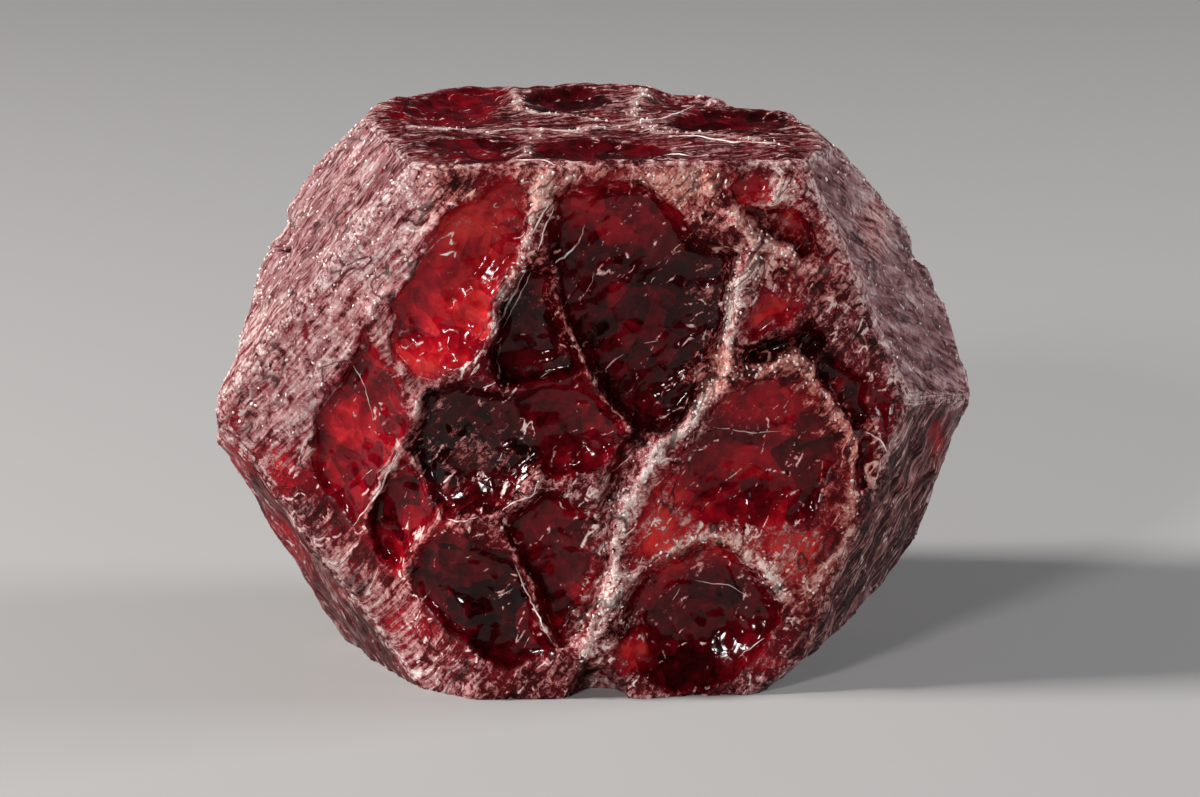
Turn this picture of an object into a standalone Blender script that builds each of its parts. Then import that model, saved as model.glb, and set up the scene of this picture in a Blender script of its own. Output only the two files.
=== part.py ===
"""A rough ruby crystal, one solid grown as one piece, standing on its flat foot.

The stone is cleaved out of a block by its crystal faces. Its skin is then broken up: hollows where
flakes have sprung off, steps and slabs, raised veins of pale crust, growth lines and lumps. Each
group of them is laid out on a drawing of the stone as it is seen from one side, and is sunk or
raised along the line of sight of that drawing. All lengths are in millimetres until the last step.
"""

import math

import bmesh
import bpy
import numpy as np
from mathutils import Vector

MM = 0.001
NODE_NAME = "ruby_crystal"

# Overall size of the stone
HEIGHT = 26.4
MIDDLE = Vector((0.0, 0.0, HEIGHT / 2))
DRAWING_CENTRE = Vector((0.3, 0.0, 12.95))
BLOCK = 80.0
SPARE = 1.0

# Mesh: spacing of the points that are moved, and the triangles that are left
GRID = 0.30
TRIANGLES = 9300
EDGE_BLEND = 0.30

# Crystal faces: azimuth from the front (+ to the right), tilt upwards, distance from the middle
CRYSTAL_FACES = {
    "top": (0, 90, HEIGHT / 2),
    "foot": (0, -90, HEIGHT / 2 + SPARE),
    "front": (4, 1, 7.8),
    "front_left": (-33.5, -1.5, 10.6),
    "front_right": (23.5, 0, 10.35),
    "upper_left": (-77, 30, 15.4),
    "shoulder_left": (-100, 46, 17.8),
    "left": (-95, 9, 18.0),
    "under_left": (-84, -22, 18.2),
    "lower_left": (-64, -27.5, 15.5),
    "upper_right": (70.5, 18.5, 15.4),
    "shoulder_right": (100, 42, 16.75),
    "right": (95, 6, 18.9),
    "under_right": (84, -16, 17.9),
    "lower_right": (63, -16, 14.9),
    "foot_right": (72, -55, 16.3),
    "back": (178, 14, 14.8),
    "back_low": (182, -18, 15.5),
    "back_left": (-135, 30, 18.4),
    "back_left_low": (-128, -28, 16.2),
    "back_right": (126, 31, 16.5),
    "back_right_low": (126, -26, 16.2),
}

# The drawings: where each is seen from (azimuth, elevation, distance) and the faces laid out on it
DRAWINGS = {
    "front": ((0, 14, 247), ("front", "front_left", "front_right")),
    "left": ((-90, 0, 247), ("upper_left", "shoulder_left", "left", "under_left", "lower_left")),
    "right": ((90, 0, 247), ("upper_right", "shoulder_right", "right", "under_right",
                             "lower_right", "foot_right")),
    "back": ((180, 8, 247), ("back", "back_low", "back_left", "back_left_low", "back_right",
                             "back_right_low")),
    "top": ((0, 90, 4000), ("top",)),
}

# Hollows, oldest first: outline across and up the drawing, depth, extra depth of the bowl,
# lean of the floor across and up, width of the rim
HOLLOWS = {
    "front": {
        "great_hollow": ([(-2.1, 10.2), (0.4, 10.7), (2.6, 10.4), (4.4, 8.6), (6.6, 7.0), (6.7, 5.0),
                          (6.2, 3.0), (6.0, 1.0), (5.0, -0.6), (3.2, -1.8), (1.4, -1.4), (0.2, 0.2),
                          (-1.6, 3.2), (-2.8, 6.0)], 1.7, 0.7, (-0.10, 0.06), 0.9),
        "wedge": ([(-2.8, 6.6), (-3.8, 6.2), (-4.8, 4.2), (-5.7, 2.0), (-4.4, 0.6), (-2.0, 0.8),
                   (-0.8, 1.6), (-1.9, 4.0)], 1.6, 0.5, (0.08, 0.05), 0.6),
        "upper_left_pane": ([(-3.6, 10.7), (-3.6, 8.8), (-4.3, 6.2), (-5.0, 4.4), (-5.8, 2.6),
                             (-6.8, 1.4), (-8.2, 0.9), (-9.6, 1.5), (-10.4, 2.6), (-10.2, 4.4),
                             (-9.0, 6.6), (-7.4, 9.2), (-5.6, 10.5)], 0.40, 0.55, (0.03, -0.05), 0.6),
        "left_pane": ([(-12.0, 3.8), (-11.2, 2.4), (-10.2, 1.0), (-9.5, -0.4), (-9.9, -2.2),
                       (-10.7, -4.2), (-12.2, -6.0), (-13.2, -5.0), (-13.9, -3.2), (-13.9, -0.8),
                       (-12.6, 1.2)], 0.55, 0.6, (0.10, -0.02), 0.5),
        "mottled_hollow": ([(-9.0, 0.2), (-6.0, 0.6), (-3.6, 0.0), (-2.2, -2.2), (-3.2, -3.6),
                            (-4.8, -5.6), (-7.6, -5.9), (-8.6, -4.4), (-9.4, -2.2)],
                           1.0, 0.7, (0.04, 0.06), 0.9),
        "left_shard": ([(-10.0, -2.8), (-8.8, -3.8), (-8.0, -5.2), (-8.4, -6.5), (-9.8, -8.8),
                        (-10.7, -8.0), (-11.4, -5.8)], 1.1, 0.3, (0.06, 0.0), 0.4),
        "middle_pane": ([(-4.4, 0.4), (-0.9, 1.2), (0.2, -0.1), (1.1, -1.4), (0.8, -2.8), (-0.5, -3.7),
                         (-2.1, -3.9), (-3.4, -2.2)], 0.95, 0.5, (0.06, -0.08), 0.6),
        "lower_left_pane": ([(-8.0, -6.6), (-6.4, -7.0), (-4.4, -7.4), (-3.2, -9.8), (-2.0, -12.6),
                             (-4.2, -13.4), (-6.6, -12.2), (-8.4, -10.6), (-9.1, -9.0)],
                            0.70, 0.6, (-0.05, 0.06), 0.6),
        "lower_middle_pane": ([(-4.6, -6.0), (-3.2, -5.0), (-1.8, -4.7), (-0.2, -6.2), (-0.2, -8.2),
                               (-0.8, -11.0), (-1.8, -12.2), (-3.4, -8.6)], 1.15, 0.5, (0.03, 0.04), 0.5),
        "vein_trough": ([(1.4, -1.4), (2.4, -2.0), (1.2, -3.8), (0.4, -6.0), (0.1, -8.6), (-0.6, -11.4),
                         (-1.8, -12.4), (-0.8, -9.6), (-0.4, -6.2), (0.2, -3.6)], 1.2, 0.2, (0, 0), 0.6),
        "slab_pane": ([(6.2, 0.4), (8.0, 1.0), (10.0, 0.2), (11.2, -1.8), (11.5, -4.2), (10.6, -6.0),
                       (8.0, -6.3), (5.4, -6.2), (3.6, -4.6), (3.8, -2.8), (5.2, -1.2)],
                      0.35, 0.45, (0.02, 0.05), 0.8),
        "arch_hollow": ([(0.6, -11.2), (1.8, -9.4), (3.4, -8.0), (5.0, -7.2), (6.6, -7.4), (8.0, -8.6),
                         (8.9, -10.2), (8.3, -12.2), (6.6, -13.9), (3.0, -14.4), (1.0, -13.0)],
                        0.95, 0.9, (0.0, -0.05), 0.5),
        "arch_knob": ([(0.6, -12.2), (1.8, -11.6), (2.5, -12.4), (2.3, -13.6), (1.1, -13.4)],
                      0.65, 0.1, (0, 0), 0.4),
        "foot_notch": ([(-1.2, -13.0), (0.4, -13.2), (1.3, -14.6), (0.8, -16.0), (-1.6, -16.0)],
                       1.7, 0.0, (0, 0), 0.8),
        "corner_pane": ([(6.5, 10.4), (7.5, 11.1), (8.6, 10.5), (8.4, 9.6), (7.2, 9.2)],
                        0.5, 0.45, (0, 0), 0.4),
        "crescent": ([(7.2, 9.2), (8.4, 9.5), (9.4, 9.2), (10.4, 8.6), (11.0, 7.4), (10.0, 6.9),
                      (8.6, 7.8)], 0.9, 0.4, (0, 0), 0.5),
        "nook_pane": ([(7.1, 4.2), (7.9, 5.1), (9.6, 4.8), (8.9, 3.8), (7.4, 3.1)],
                      0.45, 0.3, (0, 0), 0.4),
        "nook_pit": ([(7.2, 2.9), (9.2, 3.3), (10.6, 4.0), (11.4, 2.6), (10.4, 1.9), (9.3, 2.5),
                      (8.4, 1.9), (7.2, 2.0)], 1.1, 0.4, (0, 0), 0.5),
        "right_gash": ([(10.6, 2.2), (12.0, 2.1), (13.4, 0.6), (13.1, -1.2), (12.2, -1.6), (11.2, 0.0)],
                       0.9, 0.4, (0, 0), 0.5),
        "right_shard": ([(13.2, -0.6), (13.9, 0.9), (14.8, -0.6), (14.2, -1.6)], 0.4, 0.2, (0, 0), 0.3),
        "edge_shard": ([(12.6, -2.4), (13.3, -2.4), (13.6, -4.0), (13.0, -4.7), (12.5, -3.4)],
                       0.6, 0.2, (0, 0), 0.3),
    },
    "left": {
        "notch": ([(-10.0, 8.4), (-3.6, 8.2), (-2.4, 7.0), (-9.6, 6.6)], 0.8, 0.1, (0, 0), 0.6),
        "flank_scoop": ([(-9.5, 3.2), (-5.5, 4.0), (-4.0, 0.8), (-5.5, -2.2), (-9.0, -0.8)],
                        0.4, 0.5, (0, 0), 0.8),
        "hind_scoop": ([(-11.0, 0.5), (-8.6, -1.6), (-9.0, -6.0), (-11.6, -4.6)], 0.6, 0.4, (0, 0), 0.6),
        "under_scoop": ([(-8.0, -4.4), (-4.0, -3.6), (-2.0, -7.2), (-4.4, -10.2), (-8.0, -8.6)],
                        0.4, 0.6, (0, 0), 0.7),
    },
    "right": {
        "notch": ([(2.6, 7.8), (9.6, 7.9), (10.0, 6.3), (3.2, 6.4)], 0.7, 0.1, (0, 0), 0.6),
        "flank_scoop": ([(5.4, 3.4), (8.4, 2.6), (9.4, -1.2), (7.0, -3.6), (5.0, -1.0)],
                        0.3, 0.5, (0, 0), 0.8),
        "under_scoop": ([(3.4, -5.2), (7.0, -4.8), (8.0, -8.6), (5.0, -11.6), (2.4, -9.0)],
                        0.4, 0.6, (0, 0), 0.7),
        "hind_scoop": ([(8.8, 4.4), (11.6, 2.6), (11.4, -3.2), (8.8, -4.6)], 0.5, 0.4, (0, 0), 0.6),
    },
    "back": {
        "upper_left_scoop": ([(-9.4, 8.6), (-5.4, 11.0), (-1.0, 10.4), (0.0, 6.2), (-1.8, 2.2),
                              (-6.2, 1.2), (-9.8, 4.2)], 0.8, 1.0, (0.05, -0.04), 0.7),
        "upper_right_scoop": ([(1.2, 10.6), (6.2, 11.0), (9.2, 8.0), (8.6, 4.0), (4.0, 2.8),
                               (1.4, 5.6)], 0.6, 0.9, (-0.04, 0.03), 0.6),
        "left_scoop": ([(-13.2, 3.4), (-10.8, 2.8), (-9.2, -1.0), (-10.2, -5.0), (-13.0, -5.2),
                        (-14.8, -1.0)], 0.5, 0.7, (0, 0), 0.7),
        "great_scoop": ([(-8.0, -0.4), (-3.0, 0.2), (0.6, -3.0), (-0.6, -8.0), (-5.0, -9.6),
                         (-8.6, -6.0)], 1.0, 1.1, (0.05, 0.03), 0.7),
        "right_scoop": ([(2.0, 1.6), (7.0, 2.2), (10.2, -1.0), (9.0, -6.0), (5.0, -8.0),
                         (1.6, -4.8)], 0.8, 1.0, (-0.04, 0.02), 0.7),
        "far_right_scoop": ([(11.0, 3.4), (14.0, 1.0), (14.6, -2.4), (12.0, -5.2), (10.8, -2.0)],
                            0.5, 0.5, (0, 0), 0.6),
        "low_right_scoop": ([(0.8, -9.4), (5.0, -9.0), (8.4, -10.6), (6.2, -13.6), (0.4, -13.4)],
                            0.6, 0.6, (0, 0), 0.6),
        "low_left_scoop": ([(-9.0, -8.4), (-6.0, -10.4), (-2.0, -10.8), (-2.4, -13.4), (-7.0, -13.2)],
                           0.5, 0.6, (0, 0), 0.6),
    },
    "top": {
        "far_left_pane": ([(-10.6, 4.6), (-8.8, 8.8), (-6.2, 11.6), (-4.4, 11.0), (-5.4, 7.0),
                           (-5.0, 3.4), (-7.4, 1.6)], 0.35, 0.35, (0, 0), 0.8),
        "near_left_pane": ([(-8.4, -2.2), (-5.6, -1.2), (-3.8, -2.2), (-4.0, -6.6), (-6.2, -7.0),
                            (-8.0, -4.6)], 0.30, 0.30, (0, 0), 0.6),
        "middle_pane": ([(-3.2, -2.6), (0.2, -2.0), (3.2, -3.6), (3.4, -6.6), (0.4, -7.2), (-3.0, -6.4)],
                        0.30, 0.30, (0, 0), 0.7),
        "right_pane": ([(3.2, 3.2), (5.0, 5.4), (8.0, 6.0), (10.2, 3.2), (8.4, 0.2), (4.4, 0.6)],
                       0.35, 0.40, (0, 0), 0.8),
        "far_pane": ([(-3.6, 4.4), (-3.8, 9.4), (-1.0, 11.2), (0.6, 8.0), (-0.4, 4.8)],
                     0.25, 0.30, (0, 0), 0.8),
        "far_right_step": ([(2.6, 7.4), (9.0, 6.2), (13.0, 9.0), (8.0, 16.0), (3.0, 16.0)],
                           0.80, 0.0, (0.0, -0.08), 1.4),
    },
}

# Veins and ridges: the line along the drawing, height and half-width
VEINS = {
    "front": {
        "main_vein": ([(7.4, 6.6), (6.8, 5.4), (6.4, 3.6), (6.3, 1.8), (5.6, 0.1), (4.4, -1.4),
                       (3.0, -2.4), (1.8, -3.8), (1.1, -5.4), (0.7, -7.2), (0.6, -8.8), (0.1, -10.6),
                       (-0.8, -12.4)], 0.45, 0.7),
        "arch_vein": ([(0.2, -10.8), (1.0, -9.5), (2.4, -8.5), (3.6, -7.5), (5.0, -6.9), (6.4, -7.0),
                       (8.0, -8.2), (9.4, -9.9)], 0.35, 0.55),
        "slab_rim": ([(6.6, 1.3), (8.0, 1.5), (9.6, 2.1), (10.5, 1.0), (11.3, -0.4), (12.2, -2.0),
                      (12.4, -3.6), (12.9, -5.2), (12.0, -7.4), (10.4, -9.6)], 0.35, 0.6),
        "spine": ([(-2.6, 11.4), (-3.1, 9.4), (-3.7, 7.4), (-4.4, 5.4), (-5.4, 3.2)], 0.35, 0.5),
        "cross_ridge": ([(-2.8, 6.2), (-2.0, 3.9), (-0.9, 1.9), (0.3, 0.2), (1.4, -1.4)], 0.50, 0.6),
        "left_divide": ([(-11.6, 4.4), (-11.0, 3.0), (-10.4, 1.8), (-9.6, 0.8), (-9.2, -0.8)], 0.35, 0.6),
        "pane_edge": ([(-9.9, -2.2), (-10.7, -4.2), (-11.6, -5.6), (-12.4, -6.6)], 0.40, 0.4),
        "low_ridge": ([(-4.9, -5.9), (-4.3, -7.2), (-3.5, -8.7), (-3.0, -10.3), (-1.9, -12.6)], 0.30, 0.4),
        "slant_ridge": ([(-8.1, -6.2), (-6.4, -7.1), (-4.8, -8.0), (-3.7, -8.6)], 0.25, 0.4),
        "low_left_divide": ([(-8.1, -5.2), (-8.5, -6.6), (-9.2, -8.0), (-9.8, -9.2)], 0.30, 0.5),
        "upper_belt": ([(-7.0, 11.6), (-3.0, 11.2), (2.0, 11.2), (5.6, 10.4), (6.2, 8.8)], 0.20, 0.8),
        "corner_ridge": ([(6.4, 9.4), (7.6, 7.4), (8.8, 7.2), (10.0, 6.5), (11.4, 6.6)], 0.40, 0.6),
        "pane_line": ([(-7.4, 8.9), (-5.6, 8.8), (-3.8, 8.5)], 0.15, 0.3),
    },
    "left": {
        "growth_step": ([(-10.0, 9.4), (-4.0, 9.2), (1.0, 7.6), (5.0, 4.4)], 0.12, 0.6),
        "flank_ridge": ([(-9.0, -1.8), (-4.0, -3.2), (0.6, -2.4), (3.0, 0.4)], 0.30, 0.7),
    },
    "right": {
        "growth_step": ([(-3.0, 5.6), (1.0, 3.6), (4.6, 0.0), (7.4, -3.6)], 0.12, 0.6),
        "flank_ridge": ([(-2.4, -3.8), (3.0, -4.4), (7.6, -4.2), (10.6, -1.6)], 0.30, 0.7),
    },
    "back": {
        "upright_vein": ([(0.6, 12.6), (0.7, 8.0), (0.2, 4.0), (1.2, 0.4), (1.2, -4.0), (0.2, -8.4),
                          (-0.8, -13.0)], 0.40, 0.7),
        "cross_vein": ([(-14.0, 4.6), (-10.0, 1.6), (-6.0, 0.4), (-1.4, 1.4), (4.0, 2.4), (9.6, 2.4),
                        (13.0, 3.6)], 0.35, 0.6),
        "low_vein": ([(-9.4, -7.2), (-5.0, -10.0), (0.2, -8.8), (5.2, -8.6), (9.6, -7.0)], 0.30, 0.6),
    },
    "top": {
        "long_ray": ([(-9.6, 1.4), (-5.6, 0.4), (-2.0, 0.8), (2.0, 2.2), (3.4, 0.2), (9.2, -3.8)],
                     0.10, 0.5),
        "far_ray": ([(2.0, 2.2), (-1.6, 3.6), (-4.4, 6.0), (-4.4, 11.6)], 0.10, 0.5),
        "right_ray": ([(2.0, 2.2), (1.8, 6.0), (2.2, 9.6)], 0.15, 0.7),
        "near_ray": ([(-4.2, -7.6), (-3.6, -5.0), (-3.4, -1.6), (-2.4, 0.8)], 0.08, 0.4),
    },
}

# Texture: size across and height of the lumps, of the growth lines and of the shell-like flaking
LUMPS = ((8.0, 0.35), (3.0, 0.20), (1.2, 0.12))
LUMP_SHARE = {"top": 0.45}
GROWTH_LINES = (0.55, 5.0, 0.09)
GROWTH_SLANT = math.radians(52)
FLAKES = ((3.4, 0.42), (1.5, 0.20))
# How much of a vein's height is left along its crest, and the size and share of its breaks
VEIN_LEVEL = 0.75
VEIN_BREAKS = ((0.9, 0.9), (2.4, 0.5))


def direction(azimuth, tilt):
    """Unit vector that points out at an azimuth from the front and a tilt above level."""
    a = math.radians(azimuth)
    t = math.radians(tilt)
    return Vector((math.sin(a) * math.cos(t), -math.cos(a) * math.cos(t), math.sin(t)))


def smooth(value, low, high):
    """0 below low, 1 above high, and a soft step between them."""
    t = np.clip((value - low) / (high - low), 0.0, 1.0)
    return t * t * (3.0 - 2.0 * t)


def along_line(u, v, line):
    """Distance of each point from a line of straight runs."""
    nearest = np.full(u.shape, np.inf)
    for (u0, v0), (u1, v1) in zip(line, line[1:]):
        run = np.array((u1 - u0, v1 - v0))
        share = np.clip(((u - u0) * run[0] + (v - v0) * run[1]) / (run @ run), 0.0, 1.0)
        nearest = np.minimum(nearest, np.hypot(u - u0 - share * run[0], v - v0 - share * run[1]))
    return nearest


def inside_outline(u, v, outline):
    """Distance of each point from a closed outline, positive inside it."""
    closed = outline + outline[:1]
    inside = np.zeros(u.shape, bool)
    for (u0, v0), (u1, v1) in zip(closed, closed[1:]):
        if v0 != v1:
            crosses = (v0 > v) != (v1 > v)
            inside ^= crosses & (u < u0 + (v - v0) * (u1 - u0) / (v1 - v0))
    distance = along_line(u, v, closed)
    return np.where(inside, distance, -distance)


def lump_noise(points, size, seed):
    """Soft random lumps of about one size, between -1 and 1."""
    lattice = np.random.default_rng(seed).uniform(-1.0, 1.0, (16, 16, 16))
    scaled = points / size + 100.0
    cell = np.floor(scaled).astype(int)
    part = smooth(scaled - cell, 0.0, 1.0)
    total = np.zeros(len(points))
    for corner in np.ndindex(2, 2, 2):
        share = np.prod(np.where(corner, part, 1.0 - part), axis=1)
        at = (cell + corner) % 16
        total += share * lattice[at[:, 0], at[:, 1], at[:, 2]]
    return total


def shell_flakes(points, size, seed):
    """Shell-like scars: 0 in the middle of each shallow scar, up to about 1 on the ridges between."""
    random = np.random.default_rng(seed)
    jitter = random.uniform(0.1, 0.9, (16, 16, 16, 3))
    start = random.uniform(0.0, 0.35, (16, 16, 16))
    scaled = points / size + 100.0
    cell = np.floor(scaled).astype(int)
    lowest = np.full(len(points), np.inf)
    for step in np.ndindex(3, 3, 3):
        at = cell + step - 1
        key = tuple((at % 16).T)
        reach = scaled - at - jitter[key]
        lowest = np.minimum(lowest, (reach ** 2).sum(axis=1) + start[key])
    return np.clip(lowest, 0.0, 1.0)


class Drawing:
    """A sheet across the middle of the stone, seen from one place."""

    def __init__(self, azimuth, elevation, distance):
        self.distance = distance
        self.towards = np.array(direction(azimuth, elevation))
        self.across = np.array(direction(azimuth + 90, 0))
        self.up = np.cross(self.towards, self.across)
        self.eye = np.array(DRAWING_CENTRE) + self.towards * distance

    def place(self, points):
        """Where the points appear on the sheet, and the direction from each to the eye."""
        sight = self.eye - points
        scale = self.distance / (sight @ self.towards)
        u = -(sight @ self.across) * scale
        v = -(sight @ self.up) * scale
        return u, v, sight / np.linalg.norm(sight, axis=1)[:, None]


def cleaved_stone():
    """The block cut down by every crystal face, as a closed mesh."""
    work = bmesh.new()
    bmesh.ops.create_cube(work, size=BLOCK)
    bmesh.ops.translate(work, verts=work.verts, vec=MIDDLE)
    for azimuth, tilt, reach in CRYSTAL_FACES.values():
        outwards = direction(azimuth, tilt)
        bmesh.ops.bisect_plane(work, geom=work.verts[:] + work.edges[:] + work.faces[:],
                               plane_co=MIDDLE + outwards * reach, plane_no=outwards,
                               clear_outer=True)
        open_edges = [edge for edge in work.edges if edge.is_boundary]
        bmesh.ops.contextual_create(work, geom=open_edges)
    bmesh.ops.recalc_face_normals(work, faces=work.faces)
    mesh = bpy.data.meshes.new(NODE_NAME)
    work.to_mesh(mesh)
    work.free()
    return mesh


def evaluated_mesh(stone):
    """The stone's mesh with its modifiers worked out."""
    graph = bpy.context.evaluated_depsgraph_get()
    graph.update()
    return bpy.data.meshes.new_from_object(stone.evaluated_get(graph))


def face_shares(points):
    """How much each point belongs to each crystal face, and its outward direction."""
    normals = np.array([direction(azimuth, tilt) for azimuth, tilt, _ in CRYSTAL_FACES.values()])
    reach = np.array([face[2] for face in CRYSTAL_FACES.values()])
    proud = (points - np.array(MIDDLE)) @ normals.T - reach
    shares = np.exp((proud - proud.max(axis=1)[:, None]) / EDGE_BLEND)
    shares /= shares.sum(axis=1)[:, None]
    outwards = shares @ normals
    outwards /= np.linalg.norm(outwards, axis=1)[:, None]
    return dict(zip(CRYSTAL_FACES, shares.T)), outwards


def relief(name, u, v, texture):
    """Height of the surface over the crystal face at each place on a drawing."""
    height = np.zeros(u.shape)
    glassy = np.zeros(u.shape)
    for outline, depth, bowl, lean, rim in HOLLOWS[name].values():
        inward = inside_outline(u, v, outline)
        middle = np.mean(outline, axis=0)
        floor = lean[0] * (u - middle[0]) + lean[1] * (v - middle[1]) - depth
        floor -= bowl * smooth(inward, 0.0, 2.5)
        cut = smooth(inward, -0.3 * rim, 0.7 * rim)
        height += (floor - height) * cut
        glassy = np.maximum(glassy, cut)
    for line, rise, half_width in VEINS[name].values():
        crest = np.clip(1.0 - along_line(u, v, line) / half_width, 0.0, 1.0)
        height += rise * crest * texture["broken"]
    rough = LUMP_SHARE.get(name, 1.0) * (1.0 - 0.7 * glassy)
    return height + texture["flakes"] * glassy + texture["lumps"] * rough


def surface_texture(points):
    """Lumps of the rough skin, flaking of the hollows and breaks along the veins."""
    lumps = np.zeros(len(points))
    for number, (size, height) in enumerate(LUMPS):
        lumps += height * lump_noise(points, size, number + 1)
    flakes = np.zeros(len(points))
    for number, (size, height) in enumerate(FLAKES):
        flakes += height * (shell_flakes(points, size, number + 11) - 0.4)
    broken = np.full(len(points), VEIN_LEVEL)
    for number, (size, share) in enumerate(VEIN_BREAKS):
        broken += share * lump_noise(points, size, number + 21)
    return {"lumps": lumps, "flakes": flakes, "broken": np.clip(broken, 0.0, 1.5)}


def growth_lines(points):
    """Fine ribs that rise across the side faces."""
    slope = np.array((0.0, -math.cos(GROWTH_SLANT), math.sin(GROWTH_SLANT)))
    across = np.array((1.0, 0.0, 0.0))
    width, length, height = GROWTH_LINES
    along = points @ slope
    aside = points @ np.cross(slope, across)
    stretched = np.stack([along / length, aside / width, (points @ across) / length], axis=1)
    return height * lump_noise(stretched, 1.0, 31)


def broken_surface(points):
    """The points of the cleaved stone, moved out and in to make its broken skin."""
    shares, outwards = face_shares(points)
    texture = surface_texture(points)
    lines = growth_lines(points)
    moved = points.copy()
    for name, (seen_from, faces) in DRAWINGS.items():
        u, v, sight = Drawing(*seen_from).place(points)
        share = sum(shares[face] for face in faces)
        height = relief(name, u, v, texture)
        along = sight if name in ("front", "top") else outwards
        if name in ("left", "right"):
            height = height + lines
        moved += along * (height * share)[:, None]
    return moved


def point_array(mesh):
    flat = np.empty(len(mesh.vertices) * 3, np.float32)
    mesh.vertices.foreach_get("co", flat)
    return flat.reshape(-1, 3).astype(float)


def set_points(mesh, points):
    mesh.vertices.foreach_set("co", points.astype(np.float32).ravel())
    mesh.update()


def trimmed(mesh):
    """Cuts the stone level at its foot, and puts its box over the origin."""
    work = bmesh.new()
    work.from_mesh(mesh)
    bmesh.ops.bisect_plane(work, geom=work.verts[:] + work.edges[:] + work.faces[:],
                           plane_co=(0, 0, 0), plane_no=(0, 0, -1), clear_outer=True)
    rim = [edge for edge in work.edges if edge.is_boundary]
    bmesh.ops.contextual_create(work, geom=rim)
    bmesh.ops.triangulate(work, faces=work.faces)
    bmesh.ops.recalc_face_normals(work, faces=work.faces)
    low = Vector([min(vertex.co[axis] for vertex in work.verts) for axis in range(3)])
    high = Vector([max(vertex.co[axis] for vertex in work.verts) for axis in range(3)])
    centre = (low + high) / 2
    bmesh.ops.translate(work, verts=work.verts, vec=(-centre.x, -centre.y, 0))
    work.to_mesh(mesh)
    work.free()
    print(NODE_NAME, "size in mm", [round(value, 2) for value in high - low])
    print("middle moved from", [round(value, 3) for value in centre])


def ruby_material():
    material = bpy.data.materials.new("ruby")
    material.use_nodes = True
    shader = material.node_tree.nodes["Principled BSDF"]
    shader.inputs["Base Color"].default_value = (0.33, 0.02, 0.03, 1.0)
    shader.inputs["Roughness"].default_value = 0.25
    shader.inputs["Metallic"].default_value = 0.0
    shader.inputs["IOR"].default_value = 1.77
    return material


def ruby_crystal():
    stone = bpy.data.objects.new(NODE_NAME, cleaved_stone())
    bpy.context.scene.collection.objects.link(stone)

    skin = stone.modifiers.new("even skin", "REMESH")
    skin.mode = "VOXEL"
    skin.voxel_size = GRID
    fine = evaluated_mesh(stone)
    stone.modifiers.remove(skin)
    set_points(fine, broken_surface(point_array(fine)))
    stone.data = fine

    thin = stone.modifiers.new("fewer faces", "DECIMATE")
    thin.use_collapse_triangulate = True
    thin.ratio = TRIANGLES / (2 * len(fine.polygons))
    stone.data = evaluated_mesh(stone)
    stone.modifiers.remove(thin)

    trimmed(stone.data)
    stone.data.transform(((MM, 0, 0, 0), (0, MM, 0, 0), (0, 0, MM, 0), (0, 0, 0, 1)))
    stone.data.materials.clear()
    stone.data.materials.append(ruby_material())


def main():
    for thing in list(bpy.data.objects):
        bpy.data.objects.remove(thing)
    ruby_crystal()


main()
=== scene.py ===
# %% [markdown]
# # A rough ruby crystal
# The stone is one natural crystal, about as wide as a walnut. It has flat crystal faces, and its
# front is broken into glassy red hollows with pale veins of crust between them. This lesson makes
# the fine stone in place of the packed solid: the shape first, then what the surface is made of,
# then the grains and hairlines that grow on it, and the studio last.

# %% Load the packed solid
import math

import bmesh
import bpy
import numpy as np
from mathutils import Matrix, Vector


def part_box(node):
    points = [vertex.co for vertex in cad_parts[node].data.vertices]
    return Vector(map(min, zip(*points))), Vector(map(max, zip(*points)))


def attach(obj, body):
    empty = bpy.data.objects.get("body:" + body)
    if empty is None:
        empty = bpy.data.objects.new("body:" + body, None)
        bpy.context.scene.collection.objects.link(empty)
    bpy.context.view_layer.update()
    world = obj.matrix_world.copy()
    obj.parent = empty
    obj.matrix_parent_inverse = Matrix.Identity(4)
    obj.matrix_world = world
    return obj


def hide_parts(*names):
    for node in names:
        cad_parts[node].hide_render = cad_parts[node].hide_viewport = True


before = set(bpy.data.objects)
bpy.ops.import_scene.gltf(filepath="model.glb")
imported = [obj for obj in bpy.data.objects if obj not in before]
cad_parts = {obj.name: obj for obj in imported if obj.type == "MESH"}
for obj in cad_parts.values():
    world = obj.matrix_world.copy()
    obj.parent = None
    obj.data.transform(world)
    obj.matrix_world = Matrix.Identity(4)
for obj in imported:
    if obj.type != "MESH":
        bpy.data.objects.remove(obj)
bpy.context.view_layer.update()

MM = 0.001
NODE = "ruby_crystal"
low_corner, high_corner = (np.array(corner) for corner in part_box(NODE))
print("solid, mm:", np.round((high_corner - low_corner) / MM, 2))

# %% [markdown]
# ## The crystal faces
# A crystal grows outwards on flat faces, so its body is a block cut by planes. Each face needs only
# the way it looks (azimuth from the front, tilt above level) and its distance from the middle. The
# same faces made the packed solid, which is how the two agree.

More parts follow.
